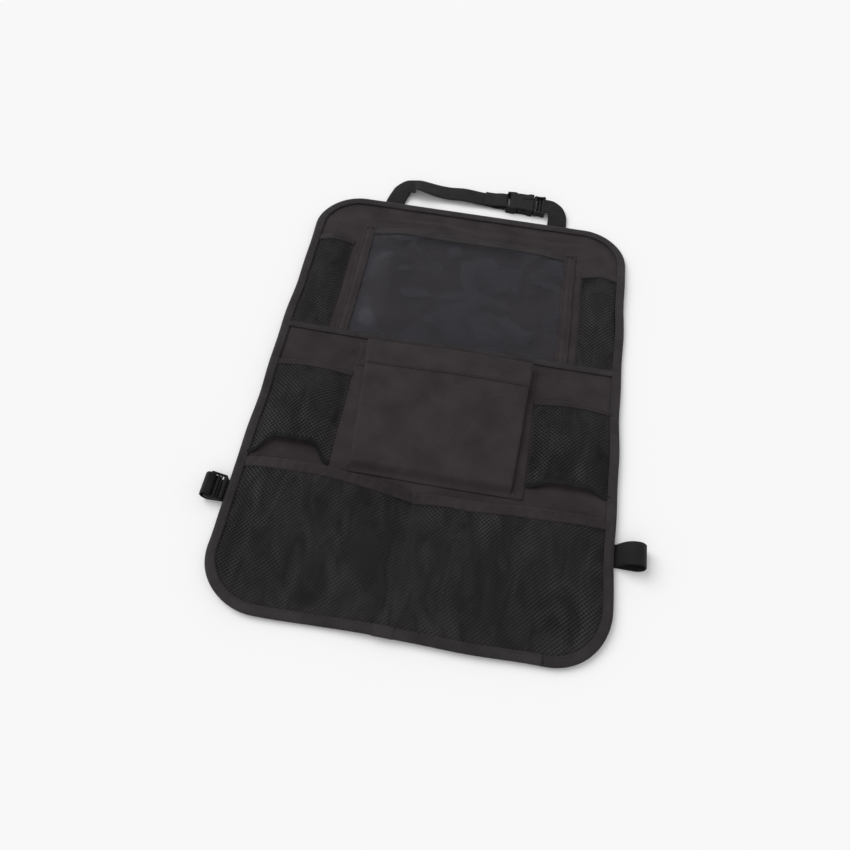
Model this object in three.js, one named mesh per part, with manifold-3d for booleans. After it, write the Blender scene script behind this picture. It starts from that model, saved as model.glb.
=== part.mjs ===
// Car seat back organizer, lying flat with its pockets up.
// A bound fabric panel carries a clear window pocket, net pockets and a pleated fabric pocket.
// A webbing handle with a side release buckle closes round the headrest posts.
// A second webbing runs behind the panel and is drawn tight in a ladder lock.
// Units are millimetres, +Z is up and +Y points to the top of the panel.

import * as THREE from 'three';
import { mergeVertices } from 'three/addons/utils/BufferGeometryUtils.js';
import Module from 'manifold-3d';

// Panel and cloth
const PANEL_WIDTH = 420;
const PANEL_HEIGHT = 600;
const TOP_CORNER_RADIUS = 59;
const BOTTOM_CORNER_RADIUS = 65;
const CORNER_STEPS = 9;
const PANEL_THICKNESS = 0.9;
const CLOTH_THICKNESS = 0.6;
const FILM_THICKNESS = 0.4;
const BINDING_WIDTH = 11;
const BINDING_THICKNESS = 0.6;
const GAP = 0.3;

// Webbing, and the levels that the layers of the organizer lie at
const WEBBING_WIDTH = 25;
const WEBBING_THICKNESS = 1.2;
const STRAP_LEVEL = WEBBING_THICKNESS / 2;
const SEWN_END_LEVEL = WEBBING_THICKNESS * 1.5 + GAP;
const BINDING_UNDERSIDE = 2 * WEBBING_THICKNESS + 2 * GAP;
const PANEL_UNDERSIDE = BINDING_UNDERSIDE + BINDING_THICKNESS + GAP;
const PANEL_FACE = PANEL_UNDERSIDE + PANEL_THICKNESS;
const POCKET_LEVEL = PANEL_FACE + GAP + CLOTH_THICKNESS / 2;
const TAPE_LOW = CLOTH_THICKNESS / 2 + GAP;
const TAPE_HIGH = TAPE_LOW + CLOTH_THICKNESS;
const BINDING_UPPER_LOW = POCKET_LEVEL + TAPE_HIGH + GAP;
const BINDING_UPPER_HIGH = BINDING_UPPER_LOW + BINDING_THICKNESS;
const EDGE_INSET = BINDING_THICKNESS + GAP;
const UNDER_BINDING = BINDING_WIDTH - EDGE_INSET + GAP;

// Seam tape between the upper and the middle row of pockets
const ROW_SEAM_Y = 362.5;
const ROW_SEAM_WIDTH = 8;

// Window pocket
const WINDOW_HALF_WIDTH = 143;
const WINDOW_TOP = 546;
const WINDOW_STRIP_WIDTH = 14;
const WINDOW_BAND_HEIGHT = 11;
const WINDOW_RISE = 6.5;
const WINDOW_SHOULDER = 0.16;

// Pen pockets
const PEN_TO_WINDOW = 9;
const PEN_INNER_X = WINDOW_HALF_WIDTH + PEN_TO_WINDOW;
const PEN_TOP = 518;
const PEN_HEM_HEIGHT = 9;
const PEN_RISE_LEFT = 10;
const PEN_RISE_RIGHT = 9;
const PEN_MOUTH_SHARE = 0.66;

// Middle row
const CENTRE_HALF_WIDTH = 108;
const CENTRE_TOP = 350;
const CENTRE_BOTTOM = 174;
const CENTRE_HEM_HEIGHT = 33;
const CENTRE_RISE_TOP = 12;
const CENTRE_RISE_BOTTOM = 6.5;
const GUSSET_TOP = 7;
const GUSSET_BOTTOM = 21;
const GUSSET_RIGHT_SHARE = 0.55;
const SEAM_ALLOWANCE = 3;
const DRINK_TOP = 307;
const DRINK_BAND_HEIGHT = 7;
const DRINK_RISE_LEFT = 18;
const DRINK_RISE_RIGHT = 13;
const DRINK_BOTTOM_LEFT = 178;
const DRINK_ARCH_LEFT = 22;
const DRINK_BOTTOM_RIGHT = 190;
const DRINK_ARCH_RIGHT = 7;
const DRINK_ELASTIC_HEIGHT = 5;
const DRINK_FOOT_RISE = 5.5;
const DRINK_MOUTH_RISE = 6.2;
const DRINK_ARCH_SHOULDER = 0.27;

// Lower net pocket
const LOWER_TOP_ENDS = 175;
const LOWER_TOP_SAG = 15;
const LOWER_BAND_HEIGHT = 12;
const LOWER_SEAM_X = -7;
const LOWER_SEAM_WIDTH = 9;
const LOWER_RISE_LEFT = 22;
const LOWER_RISE_RIGHT = 16;
const LOWER_FOOT_EASE = 2.5;

// Nets: how much of each cell is thread
const NET_THREAD = 0.15;

// Webbing handle at the top
const HANDLE_STANDOFF = 34;
const HANDLE_RUN_Y = PANEL_HEIGHT + HANDLE_STANDOFF;
const HANDLE_CORNER_LEFT_X = -94.5;
const HANDLE_LEAN_LEFT = 6.5;
const HANDLE_CORNER_RIGHT_X = 99;
const HANDLE_LEAN_RIGHT = 2;
const HANDLE_SEWN_LENGTH = 24;
const HANDLE_REST = 0.2;
const WEAVE_EASE = 0.6;
const WEAVE_DROP = 0.8;
const WEAVE_LEAN = 0.35;
const TAIL_LENGTH = 1.6;

// Side release buckle
const BUCKLE_X = 38;
const SOCKET_LENGTH = 40;
const SOCKET_WIDTH = 34;
const SOCKET_HEIGHT = 11;
const SOCKET_WALL = 2.2;
const SOCKET_BAR = 2.6;
const SOCKET_SLOT = 4.4;
const SOCKET_BRIDGE = 3;
const WINDOW_START = 17;
const WINDOW_LENGTH = 14;
const LATCH_BAR = 3.4;
const PLUG_GAP = 0.5;
const PLUG_BASE_LENGTH = 16;
const PLUG_SHOULDER = 3.4;
const PLUG_WIDTH = 36;
const PLUG_HEIGHT = 7.4;
const PLUG_BAR = 2.6;
const PLUG_BAR_HALF_HEIGHT = 1.3;
const PLUG_RAIL = 4.2;
const ARM_WIDTH = 2.8;
const ARM_SPREAD = 9.5;
const GUIDE_WIDTH = 5;
const BUCKLE_CLEARANCE = 0.35;
const BUCKLE_ROUNDING = 1.2;

// Lower webbing and its ladder lock
const LOWER_STRAP_Y = 129;
const LOWER_STRAP_SEWN_X = 172;
const LOOP_REACH_RIGHT = 32;
const LOOP_HEIGHT_RIGHT = 20;
const LOOP_RISE_RIGHT = [[0.12, 0.26], [0.3, 0.7], [0.5, 0.95]];
const LOOP_REACH_LEFT = 25.5;
const LOOP_HEIGHT_LEFT = 17.5;
const LOOP_END_LEFT = 115;
const LOCK_LENGTH = 18.5;
const LOCK_WIDTH = 31;
const LOCK_BAR_HALF = 1.25;
const LOCK_ROUNDING = 0.5;
const LOCK_RAIL = 2.4;
const LOCK_CORNER = 1.4;
const LOCK_BAR_Z = 7;
const LOCK_TILT = 22;
const LOCK_STANDOFF = 3.2;
const TAB_THICKNESS = 0.45;
const TAB_SEWN_LENGTH = 24;

const wasm = await Module();
wasm.setup();

// Materials
const cloth = (colour, roughness) =>
  new THREE.MeshStandardMaterial({ color: colour, roughness, metalness: 0 });
const PANEL_FABRIC = cloth(0x3a3536, 0.85);
const POCKET_FABRIC = cloth(0x3d3839, 0.82);
const TAPE_FABRIC = cloth(0x2c292a, 0.8);
const NET_FABRIC = cloth(0x161617, 0.75);
const ELASTIC_FABRIC = cloth(0x332f30, 0.85);
const WEBBING = cloth(0x1f1e20, 0.8);
const CLEAR_FILM = new THREE.MeshStandardMaterial({
  color: 0x8d949c, roughness: 0.12, metalness: 0, transparent: true, opacity: 0.35,
});
const BUCKLE_PLASTIC = cloth(0x1b1b1d, 0.45);

// Helpers
const lerp = (from, to, share) => from + (to - from) * share;
const smooth = (share) => {
  const held = Math.min(1, Math.max(0, share));
  return held * held * (3 - 2 * held);
};
const steps = (from, to, count) =>
  Array.from({ length: count + 1 }, (_, index) => lerp(from, to, index / count));

function meshFrom(name, material, vertices, faces) {
  const geometry = new THREE.BufferGeometry();
  geometry.setAttribute('position', new THREE.Float32BufferAttribute(vertices.flat(), 3));
  geometry.setIndex(faces.flat());
  geometry.computeVertexNormals();
  const mesh = new THREE.Mesh(geometry, material);
  mesh.name = name;
  return mesh;
}

// A closed sheet over a grid of columns and rows, lying between two offsets from its surface.
// A cell that is open gets a diamond hole, as the cell of a net has.
function sheet(name, material, surface, columns, rows, low, high, isOpen = () => false) {
  const across = columns.length;
  const up = rows.length;
  const middle = rows.map((v) => columns.map((u) => surface(u, v)));
  const normalAt = (i, j) => {
    const left = middle[j][Math.max(0, i - 1)];
    const right = middle[j][Math.min(across - 1, i + 1)];
    const below = middle[Math.max(0, j - 1)][i];
    const above = middle[Math.min(up - 1, j + 1)][i];
    const alongU = right.clone().sub(left);
    const alongV = above.clone().sub(below);
    return alongU.cross(alongV).normalize();
  };
  const vertices = [];
  const faces = [];
  const lowIndex = [];
  const highIndex = [];
  for (let j = 0; j < up; j += 1) {
    lowIndex.push([]);
    highIndex.push([]);
    for (let i = 0; i < across; i += 1) {
      const normal = normalAt(i, j);
      lowIndex[j].push(vertices.length);
      vertices.push(middle[j][i].clone().addScaledVector(normal, low).toArray());
      highIndex[j].push(vertices.length);
      vertices.push(middle[j][i].clone().addScaledVector(normal, high).toArray());
    }
  }
  const quad = (a, b, c, d) => faces.push([a, b, c], [a, c, d]);
  const between = (a, b, share) => {
    const point = [0, 1, 2].map((axis) => lerp(vertices[a][axis], vertices[b][axis], share));
    return point;
  };
  for (let j = 0; j + 1 < up; j += 1) {
    for (let i = 0; i + 1 < across; i += 1) {
      const upper = [highIndex[j][i], highIndex[j][i + 1], highIndex[j + 1][i + 1], highIndex[j + 1][i]];
      const lower = [lowIndex[j][i], lowIndex[j][i + 1], lowIndex[j + 1][i + 1], lowIndex[j + 1][i]];
      if (!isOpen(i, j)) {
        quad(...upper);
        quad(lower[0], lower[3], lower[2], lower[1]);
        continue;
      }
      const diamond = (corners) => {
        const centre = [0, 1, 2].map((axis) =>
          corners.reduce((sum, corner) => sum + vertices[corner][axis], 0) / corners.length);
        return corners.map((corner, side) => {
          const edge = between(corner, corners[(side + 1) % corners.length], 0.5);
          const point = [0, 1, 2].map((axis) => lerp(edge[axis], centre[axis], NET_THREAD));
          vertices.push(point);
          return vertices.length - 1;
        });
      };
      const upperHole = diamond(upper);
      const lowerHole = diamond(lower);
      for (let side = 0; side < 4; side += 1) {
        const next = (side + 1) % 4;
        faces.push([upper[side], upper[next], upperHole[side]]);
        faces.push([upper[next], upperHole[next], upperHole[side]]);
        faces.push([lower[next], lower[side], lowerHole[side]]);
        faces.push([lowerHole[next], lower[next], lowerHole[side]]);
        quad(upperHole[side], upperHole[next], lowerHole[next], lowerHole[side]);
      }
    }
  }
  for (let i = 0; i + 1 < across; i += 1) {
    quad(lowIndex[0][i], lowIndex[0][i + 1], highIndex[0][i + 1], highIndex[0][i]);
    quad(highIndex[up - 1][i], highIndex[up - 1][i + 1], lowIndex[up - 1][i + 1], lowIndex[up - 1][i]);
  }
  for (let j = 0; j + 1 < up; j += 1) {
    quad(highIndex[j][0], highIndex[j + 1][0], lowIndex[j + 1][0], lowIndex[j][0]);
    quad(lowIndex[j][across - 1], lowIndex[j + 1][across - 1],
      highIndex[j + 1][across - 1], highIndex[j][across - 1]);
  }
  return meshFrom(name, material, vertices, faces);
}

// A flat strap through stations; each one holds its two edge points and the way its face looks.
function ribbon(name, material, stations, thickness) {
  const vertices = [];
  const faces = [];
  for (const { near, far, face } of stations) {
    const half = face.clone().multiplyScalar(thickness / 2);
    vertices.push(near.clone().add(half).toArray(), far.clone().add(half).toArray(),
      far.clone().sub(half).toArray(), near.clone().sub(half).toArray());
  }
  const quad = (a, b, c, d) => faces.push([a, b, c], [a, c, d]);
  quad(3, 2, 1, 0);
  for (let index = 0; index + 1 < stations.length; index += 1) {
    const from = index * 4;
    for (let side = 0; side < 4; side += 1) {
      const next = (side + 1) % 4;
      quad(from + side, from + next, from + 4 + next, from + 4 + side);
    }
  }
  const last = (stations.length - 1) * 4;
  quad(last, last + 1, last + 2, last + 3);
  return meshFrom(name, material, vertices, faces);
}

// Stations of a strap whose path lies in a plane across its width.
// Each path point is [along, height], and the strap is centred on the given side position.
function pathStations(path, place, width) {
  return path.map((point, index) => {
    const before = path[Math.max(0, index - 1)];
    const after = path[Math.min(path.length - 1, index + 1)];
    const run = Math.hypot(after[0] - before[0], after[1] - before[1]);
    const forward = [(after[0] - before[0]) / run, (after[1] - before[1]) / run];
    return {
      near: place(point[0], -width / 2, point[1]),
      far: place(point[0], width / 2, point[1]),
      face: place(-forward[1], 0, forward[0]).sub(place(0, 0, 0)).normalize(),
    };
  });
}

// The path of a strap over a first bar, under the middle bar and up through the slot behind it.
function weave(firstInner, middleNear, middleFar, lastSlot, middleZ, barHalf, heading) {
  const top = middleZ + barHalf + GAP + WEBBING_THICKNESS / 2;
  const low = 2 * middleZ - top;
  const slot = (firstInner + middleNear) / 2;
  return [
    [firstInner + heading * WEAVE_EASE, top],
    [slot - heading * WEAVE_LEAN, top - WEAVE_DROP], [slot + heading * WEAVE_LEAN, low + WEAVE_DROP],
    [middleNear - heading * WEAVE_EASE, low], [middleFar + heading * WEAVE_EASE, low],
    [lastSlot - heading * WEAVE_LEAN, low + WEAVE_DROP], [lastSlot, middleZ], [lastSlot, middleZ + TAIL_LENGTH],
  ];
}

const arc = (centreX, centreZ, radius, fromDegrees, toDegrees, count) =>
  steps(fromDegrees, toDegrees, count).map((degrees) => {
    const angle = THREE.MathUtils.degToRad(degrees);
    return [centreX + radius * Math.cos(angle), centreZ + radius * Math.sin(angle)];
  });

function manifoldFrom(geometry) {
  const plain = geometry.clone();
  plain.deleteAttribute('normal');
  plain.deleteAttribute('uv');
  const merged = mergeVertices(plain, 1e-4);
  return new wasm.Manifold(new wasm.Mesh({
    numProp: 3,
    vertProperties: new Float32Array(merged.attributes.position.array),
    triVerts: new Uint32Array(merged.index.array),
  }));
}

function meshFromManifold(name, material, solid) {
  const result = solid.getMesh();
  const geometry = new THREE.BufferGeometry();
  geometry.setAttribute('position', new THREE.BufferAttribute(new Float32Array(result.vertProperties), 3));
  geometry.setIndex(new THREE.BufferAttribute(new Uint32Array(result.triVerts), 1));
  geometry.computeVertexNormals();
  const mesh = new THREE.Mesh(geometry, material);
  mesh.name = name;
  return mesh;
}

function block(fromX, toX, fromY, toY, fromZ, toZ) {
  const geometry = new THREE.BoxGeometry(toX - fromX, toY - fromY, toZ - fromZ);
  geometry.translate((fromX + toX) / 2, (fromY + toY) / 2, (fromZ + toZ) / 2);
  return manifoldFrom(geometry);
}

// A plate with rounded top and bottom edges, from an outline in the XY plane.
function plate(points, fromZ, toZ, rounding) {
  const shape = new THREE.Shape(points.map(([x, y]) => new THREE.Vector2(x, y)));
  const geometry = new THREE.ExtrudeGeometry(shape, {
    depth: toZ - fromZ - 2 * rounding,
    bevelEnabled: rounding > 0,
    bevelThickness: rounding,
    bevelSize: rounding,
    bevelOffset: -rounding,
    bevelSegments: 2,
    steps: 1,
    curveSegments: 6,
  });
  geometry.translate(0, 0, fromZ + rounding);
  return manifoldFrom(geometry);
}

// Panel and binding
// The outline of the panel, drawn in by an inset, anticlockwise from the lower right corner.
function outline(inset) {
  const half = PANEL_WIDTH / 2 - inset;
  const corners = [
    [half, inset, BOTTOM_CORNER_RADIUS - inset, -90],
    [half, PANEL_HEIGHT - inset, TOP_CORNER_RADIUS - inset, 0],
    [-half, PANEL_HEIGHT - inset, TOP_CORNER_RADIUS - inset, 90],
    [-half, inset, BOTTOM_CORNER_RADIUS - inset, 180],
  ];
  return corners.flatMap(([x, y, radius, start]) => {
    const centreX = x - Math.sign(x) * radius;
    const centreY = y < PANEL_HEIGHT / 2 ? y + radius : y - radius;
    return arc(centreX, centreY, radius, start, start + 90, CORNER_STEPS);
  });
}

// Half the width between the side edges at a height, drawn in by an inset.
function halfWidthAt(y, inset) {
  const half = PANEL_WIDTH / 2 - inset;
  const radius = BOTTOM_CORNER_RADIUS - inset;
  const drop = inset + radius - y;
  if (drop <= 0) return half;
  return half - radius + Math.sqrt(Math.max(0, radius * radius - drop * drop));
}

function backPanel() {
  const shape = new THREE.Shape(outline(EDGE_INSET).map(([x, y]) => new THREE.Vector2(x, y)));
  const geometry = new THREE.ExtrudeGeometry(shape, { depth: PANEL_THICKNESS, bevelEnabled: false });
  geometry.translate(0, 0, PANEL_UNDERSIDE);
  return meshFromManifold('back_panel', PANEL_FABRIC, manifoldFrom(geometry));
}

function edgeBinding() {
  const section = [
    [BINDING_WIDTH, BINDING_UNDERSIDE],
    [BINDING_WIDTH, BINDING_UNDERSIDE + BINDING_THICKNESS],
    [BINDING_THICKNESS, BINDING_UNDERSIDE + BINDING_THICKNESS],
    [BINDING_THICKNESS, BINDING_UPPER_LOW],
    [BINDING_WIDTH, BINDING_UPPER_LOW],
    [BINDING_WIDTH, BINDING_UPPER_HIGH],
    [BINDING_THICKNESS, BINDING_UPPER_HIGH],
    [0, lerp(BINDING_UPPER_LOW, BINDING_UNDERSIDE, 0.3)],
    [0, lerp(BINDING_UPPER_LOW, BINDING_UNDERSIDE, 0.8)],
    [BINDING_THICKNESS, BINDING_UNDERSIDE],
  ];
  const rings = section.map(([inset]) => outline(inset));
  const count = rings[0].length;
  const vertices = [];
  const faces = [];
  for (let index = 0; index < count; index += 1) {
    section.forEach(([, height], side) => vertices.push([...rings[side][index], height]));
  }
  for (let index = 0; index < count; index += 1) {
    const from = index * section.length;
    const to = ((index + 1) % count) * section.length;
    for (let side = 0; side < section.length; side += 1) {
      const next = (side + 1) % section.length;
      faces.push([from + side, to + next, to + side], [from + side, from + next, to + next]);
    }
  }
  return meshFrom('edge_binding', TAPE_FABRIC, vertices, faces);
}

function rowSeamTape() {
  const half = PANEL_WIDTH / 2 - EDGE_INSET;
  const surface = (u, v) => new THREE.Vector3(
    lerp(-half, half, u), ROW_SEAM_Y + (v - 0.5) * ROW_SEAM_WIDTH, POCKET_LEVEL);
  return sheet('row_seam_tape', TAPE_FABRIC, surface, steps(0, 1, 4), [0, 1], TAPE_LOW, TAPE_HIGH);
}

// Pocket surfaces
// Shares of the column and row counts that lie flat under a seam.
const FLAT = 0.05;

// Place across a pocket: flat strips of the given widths at both sides, even columns between.
function acrossPocket(u, left, right, leftFlat, rightFlat) {
  if (u < FLAT) return left + (u / FLAT) * leftFlat;
  if (u > 1 - FLAT) return right - ((1 - u) / FLAT) * rightFlat;
  return lerp(left + leftFlat, right - rightFlat, (u - FLAT) / (1 - 2 * FLAT));
}

function upPocket(v, bottom, top, flat) {
  if (v < FLAT) return bottom + (v / FLAT) * flat;
  return lerp(bottom + flat, top, (v - FLAT) / (1 - FLAT));
}

const inside = (u) => Math.min(1, Math.max(0, (u - FLAT) / (1 - 2 * FLAT)));
const above = (v) => Math.min(1, Math.max(0, (v - FLAT) / (1 - FLAT)));
const columnsOf = (count) => [0, ...steps(FLAT, 1 - FLAT, count), 1];
const rowsOf = (count, band) => [0, ...steps(FLAT, 1 - band, count), 1];

// Window pocket: clear film, sewn under two fabric strips and the row seam, open at the top.
const ROW_BOTTOM = ROW_SEAM_Y - ROW_SEAM_WIDTH / 2 + GAP;

function windowSurface(u, v) {
  const side = WINDOW_HALF_WIDTH - SEAM_ALLOWANCE;
  const flat = WINDOW_STRIP_WIDTH - SEAM_ALLOWANCE + GAP;
  const x = acrossPocket(u, -side, side, flat, flat);
  const y = upPocket(v, ROW_BOTTOM, WINDOW_TOP, ROW_SEAM_WIDTH);
  const shoulder = smooth(Math.min(inside(u), 1 - inside(u)) / WINDOW_SHOULDER);
  return new THREE.Vector3(x, y, POCKET_LEVEL + WINDOW_RISE * shoulder * smooth(above(v) / WINDOW_SHOULDER));
}

const WINDOW_COLUMNS = [0, FLAT, 0.09, 0.13, 0.19, ...steps(0.3, 0.7, 4), 0.81, 0.87, 0.91, 1 - FLAT, 1];

function windowFilm() {
  const rows = [0, FLAT, 0.1, 0.15, 0.21, ...steps(0.35, 1, 5)];
  return sheet('window_film', CLEAR_FILM, windowSurface, WINDOW_COLUMNS, rows,
    -CLOTH_THICKNESS / 2, FILM_THICKNESS - CLOTH_THICKNESS / 2);
}

function windowTopBand() {
  const height = WINDOW_BAND_HEIGHT / (WINDOW_TOP - ROW_BOTTOM);
  const low = FILM_THICKNESS - CLOTH_THICKNESS / 2 + GAP;
  const columns = WINDOW_COLUMNS.slice(1, -1);
  return sheet('window_top_band', TAPE_FABRIC, windowSurface, columns, [1 - height, 1],
    low, low + CLOTH_THICKNESS);
}

function windowStrip(name, side) {
  const outer = side * WINDOW_HALF_WIDTH;
  const inner = side * (WINDOW_HALF_WIDTH - WINDOW_STRIP_WIDTH);
  const bottom = ROW_SEAM_Y + ROW_SEAM_WIDTH / 2 + GAP;
  const surface = (u, v) => new THREE.Vector3(
    lerp(Math.min(outer, inner), Math.max(outer, inner), u),
    lerp(bottom, WINDOW_TOP + SEAM_ALLOWANCE, v), POCKET_LEVEL);
  return sheet(name, POCKET_FABRIC, surface, [0, 1], steps(0, 1, 3), TAPE_LOW, TAPE_HIGH);
}

// Pen pockets: narrow nets between the binding and the window pocket.
function penSurface(side, rise) {
  const outer = side * (PANEL_WIDTH / 2 - EDGE_INSET - GAP);
  const inner = side * PEN_INNER_X;
  return (u, v) => {
    const leftFlat = side < 0 ? UNDER_BINDING : SEAM_ALLOWANCE;
    const rightFlat = side < 0 ? SEAM_ALLOWANCE : UNDER_BINDING;
    const x = acrossPocket(u, Math.min(outer, inner), Math.max(outer, inner), leftFlat, rightFlat);
    const y = upPocket(v, ROW_BOTTOM, PEN_TOP, ROW_SEAM_WIDTH);
    const mouth = 1 - (1 - PEN_MOUTH_SHARE) * smooth(above(v) * 2 - 1);
    const swell = Math.sin(Math.PI * inside(u)) * smooth(above(v) * 2.2) * mouth;
    return new THREE.Vector3(x, y, POCKET_LEVEL + rise * swell);
  };
}

const PEN_BAND = PEN_HEM_HEIGHT / (PEN_TOP - ROW_BOTTOM);

function penPocket(name, side, rise) {
  const columns = columnsOf(4);
  const rows = rowsOf(6, PEN_BAND);
  const isOpen = (i, j) => i >= 1 && i <= 4 && j >= 1 && j <= 6;
  return sheet(name, NET_FABRIC, penSurface(side, rise), columns, rows,
    -CLOTH_THICKNESS / 2, CLOTH_THICKNESS / 2, isOpen);
}

function penHem(name, side, rise) {
  return sheet(name, ELASTIC_FABRIC, penSurface(side, rise), columnsOf(4), [1 - PEN_BAND, 1],
    TAPE_LOW, TAPE_HIGH);
}

// Drink pockets: full nets with a banded mouth and a gathered foot on elastic.
function drinkSurface(side, rise, bottom, arch) {
  const outer = side * (PANEL_WIDTH / 2 - EDGE_INSET - GAP);
  const inner = side * (CENTRE_HALF_WIDTH + 2 * GAP);
  return (u, v) => {
    const leftFlat = side < 0 ? UNDER_BINDING : SEAM_ALLOWANCE;
    const rightFlat = side < 0 ? SEAM_ALLOWANCE : UNDER_BINDING;
    const x = acrossPocket(u, Math.min(outer, inner), Math.max(outer, inner), leftFlat, rightFlat);
    const hump = Math.sin(Math.PI * inside(u));
    const arched = smooth(Math.min(inside(u), 1 - inside(u)) / DRINK_ARCH_SHOULDER);
    const y = lerp(bottom + arch * arched, DRINK_TOP, v);
    const full = smooth(v * 1.8);
    const closed = smooth(v * 2 - 1);
    const swell = DRINK_FOOT_RISE * arched * (1 - full)
      + hump * (rise * full * (1 - closed) + DRINK_MOUTH_RISE * closed);
    const gather = 0.9 * Math.sin(6 * Math.PI * inside(u)) * (1 - smooth(v * 2.5)) * hump;
    return new THREE.Vector3(x, y, POCKET_LEVEL + swell + gather);
  };
}

const drinkBand = (bottom) => DRINK_BAND_HEIGHT / (DRINK_TOP - bottom);
const drinkFoot = (bottom) => DRINK_ELASTIC_HEIGHT / (DRINK_TOP - bottom);
const DRINK_COLUMNS = 6;

function drinkPocket(name, side, rise, bottom, arch) {
  const rows = [0, ...steps(drinkFoot(bottom), 1 - drinkBand(bottom), 5), 1];
  const isOpen = (i, j) => i >= 1 && i <= DRINK_COLUMNS && j >= 1 && j <= 5;
  return sheet(name, NET_FABRIC, drinkSurface(side, rise, bottom, arch), columnsOf(DRINK_COLUMNS), rows,
    -CLOTH_THICKNESS / 2, CLOTH_THICKNESS / 2, isOpen);
}

function drinkTopBand(name, side, rise, bottom, arch) {
  return sheet(name, ELASTIC_FABRIC, drinkSurface(side, rise, bottom, arch), columnsOf(DRINK_COLUMNS),
    [1 - drinkBand(bottom), 1], TAPE_LOW, TAPE_HIGH);
}

function drinkElastic(name, side, rise, bottom, arch) {
  return sheet(name, ELASTIC_FABRIC, drinkSurface(side, rise, bottom, arch), columnsOf(DRINK_COLUMNS),
    [0, drinkFoot(bottom)], TAPE_LOW, TAPE_HIGH);
}

// Centre pocket: fabric front raised on two side gussets, with a deep hem at its mouth.
const GUSSET_FOLD = 0.16;

function centreSurface(u, v) {
  const reach = above(v);
  const gusset = lerp(GUSSET_BOTTOM, GUSSET_TOP, reach) * (u < 0.5 ? 1 : GUSSET_RIGHT_SHARE);
  const edge = Math.min(inside(u), 1 - inside(u));
  const room = CENTRE_HALF_WIDTH - SEAM_ALLOWANCE;
  const sign = u < 0.5 ? -1 : 1;
  const y = upPocket(v, CENTRE_BOTTOM, CENTRE_TOP, SEAM_ALLOWANCE);
  const rise = lerp(CENTRE_RISE_BOTTOM, CENTRE_RISE_TOP, reach) * smooth(reach / 0.12);
  if (u <= FLAT || u >= 1 - FLAT) {
    const flatShare = Math.min(u, 1 - u) / FLAT;
    return new THREE.Vector3(sign * (CENTRE_HALF_WIDTH - flatShare * SEAM_ALLOWANCE), y, POCKET_LEVEL);
  }
  if (edge < GUSSET_FOLD) {
    const share = edge / GUSSET_FOLD;
    return new THREE.Vector3(sign * (room - gusset * share), y, POCKET_LEVEL + rise * share);
  }
  const share = (edge - GUSSET_FOLD) / (0.5 - GUSSET_FOLD);
  const crown = 0.18 * rise * Math.sin(Math.PI * share / 2);
  return new THREE.Vector3(sign * (room - gusset) * (1 - share), y, POCKET_LEVEL + rise + crown);
}

function centreColumns() {
  const fold = FLAT + GUSSET_FOLD * (1 - 2 * FLAT);
  return [0, FLAT, fold, ...steps(fold, 1 - fold, 6).slice(1, -1), 1 - fold, 1 - FLAT, 1];
}

function centrePocket() {
  const hem = 1 - CENTRE_HEM_HEIGHT / (CENTRE_TOP - CENTRE_BOTTOM);
  const rows = [0, FLAT, 0.1, 0.16, ...steps(0.3, hem, 3), 1];
  return sheet('centre_pocket', POCKET_FABRIC, centreSurface, centreColumns(), rows,
    -CLOTH_THICKNESS / 2, CLOTH_THICKNESS / 2);
}

function centreHem() {
  const hem = 1 - CENTRE_HEM_HEIGHT / (CENTRE_TOP - CENTRE_BOTTOM);
  return sheet('centre_pocket_hem', POCKET_FABRIC, centreSurface, centreColumns(), [hem, 1],
    TAPE_LOW, TAPE_HIGH);
}

// Lower pocket: one wide net sewn down along a centre seam, so that it holds two lobes.
function lowerSurface(u, v) {
  const signed = 2 * u - 1;
  const edge = Math.abs(signed);
  const bottom = EDGE_INSET + GAP;
  const top = LOWER_TOP_ENDS - LOWER_TOP_SAG * (1 - edge * edge);
  const y = upPocket(v, bottom, top, UNDER_BINDING + LOWER_FOOT_EASE);
  const outer = halfWidthAt(y, EDGE_INSET + GAP);
  const clear = halfWidthAt(Math.max(y, BINDING_WIDTH + GAP + LOWER_FOOT_EASE), BINDING_WIDTH + GAP);
  const inner = Math.min(clear, outer - SEAM_ALLOWANCE);
  const held = 1 - 2 * FLAT;
  const seam = (LOWER_SEAM_WIDTH / 2) * Math.sign(signed);
  let x;
  if (edge > held) x = Math.sign(signed) * lerp(inner, outer, (edge - held) / (1 - held));
  else if (edge <= FLAT) x = LOWER_SEAM_X + seam * (edge / FLAT);
  else x = lerp(LOWER_SEAM_X + seam, Math.sign(signed) * inner, (edge - FLAT) / (held - FLAT));
  const lobe = Math.min(1, Math.max(0, (edge - FLAT) / (held - FLAT)));
  const rise = signed < 0 ? LOWER_RISE_LEFT : LOWER_RISE_RIGHT;
  const swell = Math.sin(Math.PI * lobe) ** 0.8 * smooth(above(v) * 1.25);
  return new THREE.Vector3(x, y, POCKET_LEVEL + rise * swell);
}

const LOWER_BAND = LOWER_BAND_HEIGHT / (LOWER_TOP_ENDS - LOWER_TOP_SAG);
const LOWER_SIDE_CELLS = 7;
const LOWER_ROWS = 8;

function lowerColumns() {
  const half = steps(FLAT / 2, 0.5 - FLAT, LOWER_SIDE_CELLS).map((share) => share);
  const left = half.map((share) => 0.5 - share).reverse();
  const right = half.map((share) => 0.5 + share);
  return [0, ...left, ...right, 1];
}

function lowerPocket() {
  const columns = lowerColumns();
  const rows = rowsOf(LOWER_ROWS, LOWER_BAND);
  const seamColumn = LOWER_SIDE_CELLS + 1;
  const isOpen = (i, j) => i >= 1 && i < columns.length - 2 && i !== seamColumn && j >= 1 && j <= LOWER_ROWS;
  return sheet('lower_pocket_net', NET_FABRIC, lowerSurface, columns, rows,
    -CLOTH_THICKNESS / 2, CLOTH_THICKNESS / 2, isOpen);
}

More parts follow.
